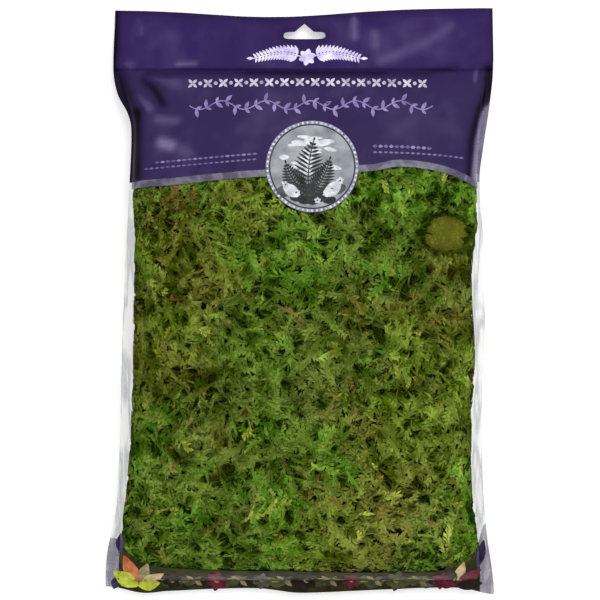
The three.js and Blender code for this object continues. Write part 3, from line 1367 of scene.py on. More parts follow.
@dataclass
class HeaderOrnament:
    """Plain leaf ornament in the places where such a bag carries its wording."""

    surface: Surface
    white: PrintInk = PrintInk("white_ink", paint(232, 226, 246), paint(190, 178, 222))
    silver: PrintInk = PrintInk("silver_ink", paint(214, 208, 222), paint(150, 140, 168))
    lavender: PrintInk = PrintInk("lavender_ink", paint(150, 134, 184), paint(112, 96, 148))
    haze: PrintInk = PrintInk("haze_ink", paint(118, 104, 152), paint(92, 78, 130))

    def garland(self) -> Piece:
        """The large pale garland under the slot.

        Returns:
            The finished piece.
        """
        ink = InkDrawing("print_garland", [self.white])
        middle, y = 5.5, 188.5
        for way in (-1, 1):
            path = [
                (middle + way * s * 41, y - 3 + 6.2 * math.sin(s * 3.0) * (1 - 0.45 * s))
                for s in np.linspace(0.12, 1, 15)
            ]
            ink.stem(path, 0.9, 0)
            for k in range(1, 14):
                run, size = heading(path[k - 1], path[k]), 8.2 - 0.3 * k
                for turn in (-58, 58):
                    ink.leaf(path[k], run + turn * way, size, size * 0.42, 0)
            ink.leaf(path[-1], 0 if way > 0 else 180, 5.5, 2.4, 0)
        ink.blossom((middle, y - 1.5), 6.6, 6, 0, 0)
        return ink.lay(self.surface)

    def chain(self) -> Piece:
        """A row of small paired leaves and dots below the crease.

        Returns:
            The finished piece.
        """
        ink = InkDrawing("print_chain", [self.silver])
        for k in range(31):
            x = -82 + k * 5.85
            y = 166 + 1.2 * math.cos((x - 6) / 60)
            if k % 2:
                ink.dot((x, y), 1.5, 0, 12)
                continue
            for angle in (45, 135, 225, 315):
                ink.leaf((x, y), angle, 4.6, 2.3, 0)
        return ink.lay(self.surface)

    def vine(self) -> Piece:
        """A running vine under the chain.

        Returns:
            The finished piece.
        """
        ink = InkDrawing("print_vine", [self.lavender])
        path = [(x, 149 + 3.4 * math.sin(x / 5.4)) for x in np.linspace(-84, 101, 150)]
        ink.stem(path, 0.9, 0)
        for k in range(4, 148, 6):
            run = heading(path[k - 1], path[k + 1])
            way = 1 if (k // 6) % 2 else -1
            ink.leaf(path[k], run + way * 62, 7.0, 3.1, 0)
            ink.leaf(path[k], run - way * 40, 5.0, 2.2, 0)
        return ink.lay(self.surface)

    def rules(self) -> Piece:
        """Fine broken rules at both sides of the round picture.

        Returns:
            The finished piece.
        """
        ink = InkDrawing("print_rules", [self.haze, self.lavender])
        for k in range(21):
            x = -118 + k * 4.1
            y = 99.8 + (x + 118) * 0.085
            ink.leaf((x, y), 5, 3.4, 1.5, 0)
            if k > 1:
                ink.leaf((x, y + 4.2), 5, 3.6, 1.7, k % 3 == 0)
        for k in range(17):
            x = 55 + k * 4.1
            y = 112.4 - (x - 55) ** 2 * 0.0009
            ink.leaf((x, y), -2, 3.4, 1.7, 0)
            if k < 11:
                ink.leaf((x, y + 4.6), -2, 3.6, 2.6, k % 2)
        return ink.lay(self.surface)


@dataclass
class Medallion:
    """The round silvery picture across the print's lower edge: plain fern fronds on a mottled ground."""

    surface: Surface
    centre: Spot = (9.2, 101.7)
    radius: float = 35.0
    line: float = 31.6
    band: float = 32.6
    beads: float = 33.8
    sky: PrintInk = PrintInk("medallion_sky", paint(158, 162, 168), paint(112, 116, 124), 70.0)
    pale: PrintInk = PrintInk("medallion_pale", paint(222, 225, 228), paint(180, 184, 192), 200.0)
    dark: PrintInk = PrintInk("medallion_dark", paint(24, 28, 26), paint(48, 52, 52), 160.0)
    rim: PrintInk = PrintInk("medallion_rim", paint(160, 156, 182), paint(104, 100, 130), 260.0)
    bank: PrintInk = PrintInk("medallion_bank", paint(84, 90, 90), paint(52, 56, 58), 120.0)

    def frond(
        self, ink: InkDrawing, foot: Spot, angle: float, length: float, bend: float, tone: int
    ) -> None:
        """Draw a fern frond.

        Args:
            ink: The drawing.
            foot: Where the frond starts.
            angle: Its first direction, in degrees.
            length: Its length.
            bend: How far it turns over its length, in degrees.
            tone: Its ink's index.
        """
        path, at, steps = [foot], Vector(foot), 14
        for k in range(steps):
            run = math.radians(angle + bend * k / steps)
            at = at + Vector((math.cos(run), math.sin(run))) * length / steps
            path.append(tuple(at))
        ink.stem(path, 0.8, tone)
        for k in range(1, steps):
            run = angle + bend * k / steps
            size = length * 0.27 * math.sin(math.pi * (k / steps) ** 0.7) + 1.2
            for turn in (-62, 62):
                ink.leaf(path[k], run + turn, size, 1.9, tone)
        ink.leaf(path[-1], angle + bend, 3.0, 1.6, tone)

    def disc(self, ink: InkDrawing, inner: float, outer: float, tone: int) -> None:
        """Draw a ring about the centre, or a disc where its inner radius is nothing.

        Args:
            ink: The drawing.
            inner: Its inner radius.
            outer: Its outer radius.
            tone: Its ink's index.
        """
        bm = ink.bm
        old = set(bm.verts)
        start = [bm.verts.new((inner, 0, 0)), bm.verts.new((outer, 0, 0))]
        spoke = bm.edges.new(start)
        bmesh.ops.spin(
            bm, geom=[*start, spoke], cent=(0, 0, 0), axis=(0, 0, 1), angle=math.tau, steps=72,
            use_merge=True,
        )
        fresh = [v for v in bm.verts if v not in old]
        bmesh.ops.remove_doubles(bm, verts=fresh, dist=0.0005)
        fresh = [v for v in bm.verts if v not in old]
        ink.place(fresh, tone, Matrix.Translation((*self.centre, 0)))

    def build(self) -> Piece:
        """Make the round picture.

        Returns:
            The finished piece.
        """
        ink = InkDrawing("print_medallion", [self.sky, self.pale, self.dark, self.rim, self.bank])
        sky, pale, dark, rim, bank = range(5)
        cx, cy = self.centre
        self.disc(ink, 0.0, self.line, sky)
        self.disc(ink, self.line, self.band, dark)
        self.disc(ink, self.band, self.radius, rim)
        chance = Random(21)
        ink.layer = 1
        for _ in range(26):
            at = (cx + chance.uniform(-25, 14), cy + chance.uniform(-4, 25))
            if math.hypot(at[0] + 5 - cx, at[1] - cy) < 24:
                angle, length = chance.uniform(-14, 14), chance.uniform(7, 15)
                ink.leaf(at, angle, length, chance.uniform(2, 4.5), pale, 0.2)
        for k in range(9):
            at = (cx - 27 + k * 5, cy - 19 + 2.4 * math.sin(k * 1.9))
            ink.leaf(at, 8 * math.sin(k), 13, 9, bank, 0.2)
        for k in range(60):
            turn = math.tau * k / 60
            at = (cx + self.beads * math.cos(turn), cy + self.beads * math.sin(turn))
            ink.dot(at, 0.7 + 0.25 * (k % 2), pale, 8)
        ink.layer = 2
        for k in range(5):
            ink.leaf((cx - 17 + k * 6, cy - 25 + 1.5 * math.cos(k * 2.0)), 0, 11, 7, dark, 0.2)
        for layer, x, y, angle, length, bend, tone in (
            (3, -2, -24, 97, 44, -24, dark), (3, -2, -24, 140, 32, -34, dark),
            (3, -2, -24, 50, 33, 26, dark), (4, 8, -22, 24, 17, 34, pale),
            (4, -9, -22, 160, 15, -30, pale),
        ):
            ink.layer = layer
            self.frond(ink, (cx + x, cy + y), angle, length, bend, tone)
        for k, at in enumerate(((-20, -14), (-12, -20), (15, -17), (21, -11), (4, -26))):
            ink.blossom((cx + at[0], cy + at[1]), 2.6 + 0.4 * (k % 2), 5, pale, bank)
        return ink.lay(self.surface, 0.34)


@dataclass
class FootBand:
    """Plain leaves and blossoms in autumn colours along the foot."""

    surface: Surface
    inks: tuple[PrintInk, ...] = tuple(
        PrintInk("foot_" + name, paint(*colour), paint(*other))
        for name, colour, other in (
            ("orange", (204, 126, 80), (158, 76, 34)), ("lime", (206, 216, 78), (156, 172, 44)),
            ("tan", (158, 146, 104), (118, 106, 70)), ("brown", (44, 30, 22), (20, 14, 10)),
            ("olive", (82, 84, 48), (50, 56, 26)), ("maroon", (112, 30, 52), (70, 16, 34)),
            ("cream", (208, 188, 142), (160, 136, 98)), ("violet", (62, 50, 88), (36, 28, 58)),
            ("grey", (96, 94, 84), (58, 60, 52)),
        )
    )
    middle: float = -214.0

    def build(self) -> Piece:
        """Make the band: a garland with blossoms between its leaves, and a fan of leaves at each end.

        Returns:
            The finished piece.
        """
        ink = InkDrawing("print_foot_band", self.inks)
        orange, lime, tan, brown, olive, maroon, cream, violet, grey = range(9)
        ground = (brown, olive, brown, olive, grey, brown, olive)
        for k in range(46):
            ink.layer = k % 2
            at = (-117 + k * 5.2, -214.5 + 1.4 * math.sin(k * 1.7))
            ink.leaf(at, 14 * math.sin(k * 2.3), 11.5, 7.8, ground[(k * 5) % 7], 0.3)
        ink.layer = 2
        path = [(x, -213.5 + 1.8 * math.sin(x / 11)) for x in np.linspace(-116, 122, 90)]
        ink.stem(path, 0.8, tan)
        petals = (brown, maroon, grey, brown, maroon, olive, maroon)
        for k in range(13):
            at = (-98 + k * 17.2, self.middle)
            ink.layer = 3
            if k % 2 == 0:
                tone = petals[k // 2]
                ink.blossom(at, 7.4 + 0.7 * (k % 4), 6, tone, cream if tone == brown else tan)
                continue
            for angle, tone in ((38, olive), (142, tan), (-38, tan), (218, olive)):
                ink.leaf(at, angle, 7.5, 3.4, tone)
            ink.layer = 4
            ink.dot(at, 1.3, maroon)
        left_fan = (
            (66, 21, 10, tan), (28, 23, 9, cream), (112, 27, 12, orange), (150, 22, 13, lime),
            (8, 17, 10, lime),
        )
        right_fan = (
            (74, 21, 9, cream), (112, 18, 9, brown), (34, 24, 11, maroon), (154, 20, 10, maroon),
            (6, 21, 9, brown),
        )
        for x, fan in ((-124, left_fan), (119, right_fan)):
            for step, (angle, length, width, tone) in enumerate(fan):
                ink.layer = 5 + step
                ink.leaf((x, -218.5), angle, length, width, tone)
        ink.layer = 1
        corners = (((-138, -192), 84, 15), ((-143, -221), 72, 11), ((136, -204), 78, 22))
        for at, angle, length in corners:
            ink.leaf(at, angle, length, 7.5, violet)
        return ink.lay(self.surface)


# Moss


class Habit(Enum):
    """How a shoot of this moss grows."""

    PLAIT = "plait"
    PLUME = "plume"
    CURL = "curl"
    TUFT = "tuft"


def corners_of(mesh: bpy.types.Mesh) -> Array:
    """The vertex at each corner of a mesh's faces."""
    return np.array([corner.vertex_index for corner in mesh.loops])


@dataclass
class Shoot:
    """One shoot of moss, grown once as a small mesh and then planted many times.

    Sizes are in millimetres.
    """

    habit: Habit
    length: float
    pairs: int
    leaf_length: float
    leaf_width: float
    spread: float
    bend: float
    rise: float
    seed: int
    body_width: float = 3.2
    steps: int = 12
    kite: tuple[tuple[float, float, float], ...] = (
        (0, 0, 0.1), (-0.5, 0.5, -0.16), (0.5, 0.56, -0.16), (0, 1, 0.1)
    )
    mesh: bpy.types.Mesh | None = None
    lay_of_map: Array | None = None

    def stem(self, t: float) -> tuple[Vector, Vector]:
        """Follow the stem.

        Args:
            t: How far along it, from 0 to 1.

        Returns:
            Where the stem is there, and which way it runs.
        """
        at = Vector((0, 0, 0))
        for k in range(int(round(t * self.steps))):
            run = math.radians(self.bend * (k + 0.5) / self.steps)
            at += Vector((math.cos(run), math.sin(run), 0)) * self.length / self.steps
        run = math.radians(self.bend * t)
        slope = self.rise / self.length * (1.8 - 2.6 * t)
        at.z = self.rise * (1.8 * t - 1.3 * t * t)
        return at, Vector((math.cos(run), math.sin(run), slope)).normalized()

    def leaf(
        self, bm: Draft, root: Vector, run: Vector, up: Vector, length: float, width: float
    ) -> None:
        """Grow one leaf: a small closed blade, widest at its middle, with a keel.

        Args:
            bm: The shoot's mesh.
            root: Where the leaf starts.
            run: Its direction.
            up: Which way its face looks.
            length: Its length.
            width: Its width.
        """
        made = bmesh.ops.create_cone(
            bm, cap_ends=True, segments=3, radius1=0.58, radius2=0.0, depth=1.0
        )
        side = up.cross(run).normalized()
        face = run.cross(side)
        for vert, (out, along, lift) in zip(made["verts"], self.kite):
            vert.co = root + side * (out * width) + run * (along * length) + face * (lift * width)

    def grow(self) -> "Shoot":
        """Grow the shoot and lay its map, whose V is the age of each point.

        Returns:
            The shoot itself.
        """
        chance, bm, ages = Random(self.seed), bmesh.new(), []
        up = Vector((0, 0, 1))

        def add(root: Vector, run: Vector, tilt: Vector, size: float, young: float) -> None:
            """Grow a leaf and note the ages of its root and tip."""
            self.leaf(bm, root, run, tilt, size, self.leaf_width * chance.uniform(0.85, 1.2))
            ages.append((0.46 + 0.22 * young, 0.62 + 0.3 * young))

        if self.habit is Habit.TUFT:
            count = self.pairs * 2
            for k in range(count):
                turn = math.tau * (k + chance.uniform(-0.3, 0.3)) / count
                run = Vector((math.cos(turn), math.sin(turn), chance.uniform(0.1, 0.9)))
                run.normalize()
                size = self.leaf_length * chance.uniform(0.7, 1.15)
                add(run * 0.4, run, up, size, chance.uniform(0.4, 1.0))
        else:
            for k in range(self.pairs):
                t = (k + 0.4) / self.pairs
                root, run = self.stem(t)
                side = up.cross(run).normalized()
                for way in (-1, 1):
                    lean = math.radians(self.spread * chance.uniform(0.5, 1.45) * (1.1 - 0.35 * t))
                    leaf_run = run * math.cos(lean) + side * way * math.sin(lean)
                    leaf_run = (leaf_run + up * chance.uniform(-0.3, 0.3)).normalized()
                    size = self.leaf_length * (0.72 + 0.5 * math.sin(math.pi * (0.15 + 0.75 * t)))
                    size *= chance.uniform(0.65, 1.2)
                    tilt = (up + side * way * chance.uniform(-0.2, 0.7)).normalized()
                    add(root, leaf_run, tilt, size, t * chance.uniform(0.8, 1.0))
            root, run = self.stem(0.94)
            add(root, run, up, self.leaf_length * 0.9, 1.0)
            for a in (0.0, 0.5):
                root, _ = self.stem(a)
                end, _ = self.stem(a + 0.5)
                reach = end - root
                self.leaf(bm, root, reach.normalized(), up, reach.length * 1.3, self.body_width)
                ages.append((0.4, 0.55))
        self.mesh = bpy.data.meshes.new(f"shoot_{self.habit.value}_{self.seed}")
        bm.to_mesh(self.mesh)
        bm.free()
        leaf, point = np.divmod(corners_of(self.mesh), len(self.kite))
        ages_of = np.array(ages)
        share = np.array([0.0, 0.6, 0.6, 1.0])[point]
        age = ages_of[leaf, 0] * (1 - share) + ages_of[leaf, 1] * share
        shift = (leaf * 0.37 % 1 - 0.5) * 0.03 + np.array([-0.012, 0.0, 0.012, 0.0])[point]
        self.lay_of_map = np.stack([shift, age], 1)
        return self


@dataclass(frozen=True)
class Clump:
    """A patch of moss of one tone, and how much lighter than the rest it is."""

    at: Spot
    radius: float
    tone: float
    light: float = 0.0

    def felt(self, x: Array, y: Array) -> Array:
        """How strongly the patch is felt at each place, from 0 to 1."""
        return bell(np.hypot(x - self.at[0], y - self.at[1]) / self.radius)


CLUMPS = tuple(
    Clump(*row) for row in (
        ((-98, 72), 13, 0.12, -0.1), ((-88, 60), 8, 0.2), ((-91, 74), 6, 0.0),
        ((112, 50), 20, 0.3, -0.12), ((-57, 43), 20, 0.84), ((-15, 31), 22, 0.86),
        ((19, -110), 13, 0.9), ((-11, -183), 16, 0.84), ((84, -37), 18, 0.85),
        ((-95, -18), 22, 0.7, -0.12), ((73, 77), 12, 0.9), ((122, -183), 12, 0.96, 0.1),
        ((-69, -62), 16, 0.24, -0.1), ((-65, -103), 15, 0.24, -0.1), ((119, -8), 12, 0.17),
        ((-42, -160), 14, 0.24), ((-34, 1), 16, 0.45), ((15, -60), 22, 0.4, 0.12),
        ((73, -175), 17, 0.2, 0.2), ((86, -150), 18, 0.36, 0.3), ((125, 20), 11, 0.2),
        ((30, -130), 10, 0.9), ((-20, 80), 16, 0.8), ((52, 86), 12, 0.72),
        ((-110, -60), 26, 0.5, -0.16), ((-100, -140), 18, 0.62), ((40, 20), 16, 0.36),
        ((8, -20), 14, 0.4), ((100, -100), 16, 0.7, -0.06), ((50, -95), 12, 0.3),
        ((-60, -140), 18, 0.6), ((-80, 36), 20, 0.5, -0.16), ((110, -165), 16, 0.5, 0.2),
        ((62, -156), 17, 0.34, 0.46), ((62, -122), 12, 0.6, -0.26), ((94, -160), 15, 0.4, 0.3),
        ((-55, -60), 14, 0.4, -0.14), ((-55, -28), 13, 0.56, 0.12), ((32, -155), 13, 0.6, 0.16),
        ((32, 36), 14, 0.6, 0.14), ((25, -60), 18, 0.42, 0.1), ((-112, -186), 14, 0.42),
        ((-82, -190), 12, 0.46), ((-102, -125), 16, 0.44),
    )
)

Chance = np.random.Generator
WELLS = (
    (-54, -128, 4.4), (15, 62, 3.2), (60, -27, 4.6), (68, -139, 3.4), (115, -48, 3.2), (-110, -197, 3.0),
    (41, 83, 2.8), (76, -69, 3.2), (37, -18, 3.0), (-110, 51, 2.6), (70, 15, 3.2), (-99, 58, 3.0),
    (112, 79, 2.6), (101, 8, 2.6), (-24, 4, 2.8), (-110, -113, 3.6), (-11, -50, 2.6), (-32, -124, 2.8),
)


@dataclass
class Lie:
    """How the moss lies over the pack, as maps in plan: how bright it is, with painted shade at the
    flanks and in the pits, and how far it sinks.
    """

    form: BagForm
    seed: int
    wells: tuple[tuple[float, float, float], ...] = ()
    low: Spot = (-150.0, -216.0)
    cells: tuple[int, int] = (400, 440)
    step: float = 0.75
    black: int = 200
    dim: int = 340
    pit_depth: float = 6.5
    pit_shade: float = 0.94
    reach: float = 14.0
    lumps: Knots = ((0.27, 6.5), (0.22, 13.0), (0.21, 27.0))
    shaded_brightness: Array = field(init=False)
    hollow: Array = field(init=False)

    def __post_init__(self) -> None:
        """Draw both maps."""
        self.x = self.low[0] + self.step * np.arange(self.cells[0])
        self.y = self.low[1] + self.step * np.arange(self.cells[1])
        x, y = self.plan()
        brightness_and_shade = 0.97 + sum(
            share * cloud(x, y, size, self.seed + 0.3) for share, size in self.lumps
        )
        for clump in CLUMPS:
            brightness_and_shade += clump.light * clump.felt(x, y)
        left, right = self.form.shoulders(y)
        # Painted shade where the pack turns away at both flanks.
        brightness_and_shade -= 0.3 * bell((x - left) / 9) + 0.35 * bell((right - x) / 3.5)
        shaded_pit = np.zeros(self.cells)
        rng = np.random.default_rng(self.seed)
        self.dig(shaded_pit, rng, self.black, 8.0, (1.8, 3.0), (0.88, 1.0))
        self.dig(shaded_pit, rng, self.dim, 6.0, (1.6, 2.8), (0.2, 0.5))
        for x_at, y_at, size in self.wells:
            self.sink(shaded_pit, rng, (x_at, y_at), size, 1.0)
        # Painted shade darkens the moss in the pits.
        self.shaded_brightness = brightness_and_shade.reshape(self.cells) * (1 - self.pit_shade * shaded_pit)
        self.hollow = self.pit_depth * shaded_pit

    def plan(self) -> tuple[Array, Array]:
        """The map's points, all in a row."""
        x, y = np.meshgrid(self.x, self.y, indexing="ij")
        return x.ravel(), y.ravel()

    def dig(
        self, pits: Array, rng: Chance, count: int, gap: float, radius: Spot, depth: Spot
    ) -> None:
        """Dig pits in the moss, apart from each other.

        Args:
            pits: The map of pits.
            rng: Where the chance comes from.
            count: How many to dig.
            gap: The least distance between two.
            radius: The least and greatest radius.
            depth: The least and greatest depth, of 1.
        """
        dug = []
        while len(dug) < count:
            at = rng.uniform(self.low, (self.x[-1], self.y[-1]))
            if all(np.hypot(*(at - other)) > gap for other in dug):
                dug.append(at)
        for at in dug:
            self.sink(pits, rng, at, rng.uniform(*radius), rng.uniform(*depth))

    def sink(self, pits: Array, rng: Chance, at: Sequence[float], size: float, depth: float) -> None:
        """Sink one pit, longer one way than the other.

        Args:
            pits: The map of pits.
            rng: Where the chance comes from.
            at: Its middle.
            size: Its smaller radius.
            depth: Its depth, of 1.
        """
        stretch, turn = rng.uniform(1, 2), rng.uniform(0, math.pi)
        low, high = np.searchsorted(self.x, (at[0] - self.reach, at[0] + self.reach))
        foot, head = np.searchsorted(self.y, (at[1] - self.reach, at[1] + self.reach))
        dx, dy = self.x[low:high, None] - at[0], self.y[None, foot:head] - at[1]
        along = (dx * math.cos(turn) + dy * math.sin(turn)) / (size * stretch)
        across = (dy * math.cos(turn) - dx * math.sin(turn)) / size
        shaded_pit = depth * np.exp(-((along**2 + across**2) ** 2))
        pits[low:high, foot:head] = np.maximum(pits[low:high, foot:head], shaded_pit)

    def make_room(self, at: Spot, radius: Spot, depth: float) -> None:
        """Press the strands down under a cushion, with painted shade in a crevice round it.

        Args:
            at: The cushion's middle.
            radius: Its radii.
            depth: How far the strands go down.
        """
        x, y = self.plan()
        gap = np.hypot((x - at[0]) / radius[0], (y - at[1]) / radius[1])
        gap = (gap + 0.16 * cloud(x, y, 5.0, 3.9)).reshape(self.cells)
        under = np.clip((1.04 - gap) / 0.18, 0, 1)
        self.hollow = np.maximum(self.hollow, depth * under)
        # Painted shade in a ring round the cushion.
        self.shaded_brightness *= 1 - 0.55 * bell((gap - 0.98) / 0.14)

    def read(self, values: Array, x: Array, y: Array) -> Array:
        """Read a map between its points.

        Args:
            values: The map.
            x: Places across the bag.
            y: Places along the bag.

        Returns:
            The map's value at each place.
        """
        i = np.clip((x - self.low[0]) / self.step, 0, self.cells[0] - 1.001)
        j = np.clip((y - self.low[1]) / self.step, 0, self.cells[1] - 1.001)
        a, b = i.astype(int), j.astype(int)
        u, v = i - a, j - b
        low = values[a, b] * (1 - v) + values[a, b + 1] * v
        high = values[a + 1, b] * (1 - v) + values[a + 1, b + 1] * v
        return low * (1 - u) + high * u


GREEN, OLIVE = (GREEN_LEAF, GREEN_BED, "moss_green"), (OLIVE_LEAF, OLIVE_BED, "moss_olive")
KINDS = (GREEN, OLIVE, GREEN)


@dataclass
class Spots:
    """Where shoots are planted on one side of the pack."""

    at: Array
    normal: Array
    mat: Array
    crevice: Array


@dataclass
class MossPack:
    """All the moss in the bag: mats in two layers, each a matted bed with shoots on its outer face."""

    form: BagForm
    relief: FilmRelief
    front_count: int = 18
    back_count: int = 10
    skirt: float = 4.0
    skirt_from: float = -190.0
    bed_under: float = 1.2
    film_gap: float = 0.42
    clear: float = 0.45
    foot_end: float = -211.0
    foot_limit: float = -211.5
    side_gap: Spot = (0.9, 0.6)
    pull: float = 0.9
    tilt: Spot = (-3.0, 17.0)
    roll: float = 0.35
    size: Spot = (0.66, 1.16)
    top_deck: float = 0.4
    bare: Callable[[float, float], bool] | None = None
    shoots: dict[Side, list[Shoot]] = field(default_factory=dict)
    lies: dict[Side, Lie] = field(default_factory=dict)

    def grow(self) -> None:
        """Grow the shoots that are planted later."""
        plait, plume, curl, tuft = Habit.PLAIT, Habit.PLUME, Habit.CURL, Habit.TUFT
        fronts = (
            (plait, 18, 6, 5.0, 2.2, 32, 60, 2.0, 1), (plait, 20, 6, 5.2, 2.2, 30, -80, 2.6, 2),
            (plait, 15, 6, 4.6, 2.1, 36, 34, 1.6, 3), (plume, 16, 6, 5.6, 1.9, 46, 50, 2.0, 4),
            (plume, 18, 6, 5.6, 1.8, 42, -54, 2.4, 5), (curl, 19, 6, 4.6, 2.1, 26, 140, 1.8, 7),
            (curl, 25, 6, 5.0, 1.7, 13, -150, 3.0, 8), (curl, 22, 6, 4.6, 1.6, 15, 120, 2.4, 9),
            (plait, 27, 6, 5.6, 1.8, 12, 90, 3.0, 11), (plait, 24, 6, 5.2, 1.7, 14, -60, 2.8, 12),
            (tuft, 8, 6, 5.0, 2.1, 0, 0, 1, 10),
        )
        backs = (
            (plait, 17, 5, 5.2, 2.4, 32, 30, 1.4, 21), (curl, 18, 5, 4.8, 2.2, 27, -110, 1.2, 22),
            (plume, 17, 5, 6.8, 1.9, 50, -20, 1.4, 23),
        )
        self.shoots = {
            Side.FRONT: [Shoot(*row).grow() for row in fronts],
            Side.BACK: [Shoot(*row).grow() for row in backs],
        }
        self.lies = {Side.FRONT: Lie(self.form, 6, WELLS), Side.BACK: Lie(self.form, 16)}

    def mats(self, side: Side) -> int:
        """How many mats a layer has."""
        return self.front_count if side is Side.FRONT else self.back_count

    def outer(self, side: Side, x: Array, y: Array) -> Array:
        """The face that the moss presses against, just inside the film."""
        film = self.form.front(x, y) if side is Side.FRONT else self.form.back(x, y)
        return film - side.sign * self.form.film - side.sign * self.clear

    def normal(self, side: Side, x: Array, y: Array) -> Array:
        """Find which way that face looks.

        Args:
            side: Which face.
            x: Places across the bag.
            y: Places along the bag.

        Returns:
            The outward normal at each place.
        """
        step = 0.4
        gx = (self.outer(side, x + step, y) - self.outer(side, x - step, y)) / (2 * step)
        gy = (self.outer(side, x, y + step) - self.outer(side, x, y - step)) / (2 * step)
        out = side.sign * np.stack([-gx, -gy, np.ones(len(x))], 1)
        return out / np.linalg.norm(out, axis=1, keepdims=True)

    def scatter(self, side: Side, gap: float, low: float, high: Curve, seed: int) -> Array:
        """Spread places evenly over one outer face of the pack.

        Args:
            side: Which face.
            gap: The least distance between two places.
            low: Where the moss ends towards the foot.
            high: Where it ends towards the head, across the bag.
            seed: Picks the pattern.

        Returns:
            The places, one row of x, y and z each.
        """
        rng, count = np.random.default_rng(seed), 260000
        turn = rng.uniform(-0.98, 0.98, count) * math.pi / 2
        y = rng.uniform(low, 112, count)

        def point(turn: Array, y: Array) -> Array:
            """The face's point at a turn across and a height along."""
            x = spread(*self.form.shoulders(y), turn)
            return np.stack([x, y, self.outer(side, x, y)], 1)

        places = point(turn, y)
        over = np.cross(point(turn + 0.004, y) - places, point(turn, y + 0.4) - places)
        area = np.linalg.norm(over, axis=1)
        area = np.minimum(area, np.percentile(area, 97))
        kept = (rng.uniform(0, area.max(), count) < area) & (y < high.at(places[:, 0]))
        chosen, cells = [], {}
        for place in places[kept]:
            cell = tuple(int(c // gap) for c in place)
            near = (
                other
                for i in (-1, 0, 1) for j in (-1, 0, 1) for k in (-1, 0, 1)
                for other in cells.get((cell[0] + i, cell[1] + j, cell[2] + k), ())
            )
            if all(((place - other) ** 2).sum() >= gap * gap for other in near):
                cells.setdefault(cell, []).append(place)
                chosen.append(place)
        return np.array(chosen)

    def share_out(self, side: Side, places: Array) -> Spots:
        """Give each place to its nearest mat.

        Args:
            side: Which layer's mats.
            places: The places.

        Returns:
            The places with their normals and mats, and how close each is to a seam between mats.
        """
        far = np.zeros((self.mats(side), len(places)))
        for k in range(self.mats(side)):
            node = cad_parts[f"{side.value}_mat_{k + 1:02d}"]
            tree = BVHTree.FromPolygons(
                [v.co / MM for v in node.data.vertices], [p.vertices[:] for p in node.data.polygons]
            )
            far[k] = [tree.find_nearest(Vector(p))[3] for p in places]
        order = np.sort(far, axis=0)
        crevice = bell((order[1] - order[0]) / 2.2)
        return Spots(places, self.normal(side, places[:, 0], places[:, 1]), far.argmin(0), crevice)

    def tones(self, spots: Spots, rng: Chance) -> Array:
        """Choose each shoot's tone.

        Args:
            spots: Where the shoots stand.
            rng: Where the chance comes from.

        Returns:
            The tones, from russet at 0 over greens to straw at 1.
        """
        x, y = spots.at[:, 0], spots.at[:, 1]
        tone = 0.56 + 0.2 * cloud(x, y, 34, 3.3) + 0.13 * cloud(x, y, 11, 7.7)
        mats = np.random.default_rng(3).uniform(-0.06, 0.06, 40)
        tone = tone + mats[spots.mat]
        for clump in CLUMPS:
            pull = clump.felt(x, y) * self.pull
            tone = tone * (1 - pull) + clump.tone * pull
        tone = tone + rng.normal(0, 0.04, len(tone)) - 0.1 * spots.crevice
        odd = rng.random(len(tone))
        tone = np.where(odd < 0.03, rng.uniform(0.88, 1.0, len(tone)), tone)
        tone = np.where(odd > 0.98, rng.uniform(0.08, 0.3, len(tone)), tone)
        return np.clip(tone, 0.03, 0.97)

    def press_in(self, side: Side, points: Array, under: float = 0.0) -> Array:
        """Press points that stand out through the film back under it.

        Args:
            side: Which face of the pack.
            points: The points, in millimetres.
            under: How far under the pack's face they stay.

        Returns:
            The pressed points.
        """
        for _ in range(3):
            x, y, z = points.T
            x = np.clip(x, *self.form.shoulders(y, self.side_gap[0] + under))
            y = np.maximum(y, self.foot_end)
            points = np.stack([x, y, z], 1)
            normal = self.normal(side, x, y)
            over = side.sign * (z - self.outer(side, x, y)) * np.abs(normal[:, 2]) + under
            points = points - normal * np.maximum(over, 0)[:, None]
        return points

    def keep_inside(self, points: Array, under: float = 0.0) -> Array:
        """Keep points between the two films, with all their folds.

        Args:
            points: The points, in millimetres.
            under: How far from each film they stay, where there is room.

        Returns:
            The points, raised or lowered where they stood out.
        """
        x, y, z = points.T
        x = np.clip(x, *self.form.shoulders(y, self.side_gap[1]))
        y = np.maximum(y, self.foot_limit)
        high = self.relief.front_face(x, y) - self.film_gap - under
        low = self.relief.back_face(x, y) + self.film_gap + under
        middle, half = (high + low) / 2, np.maximum(high - low, 0) / 2
        return np.stack([x, y, np.clip(z, middle - half, middle + half)], 1)

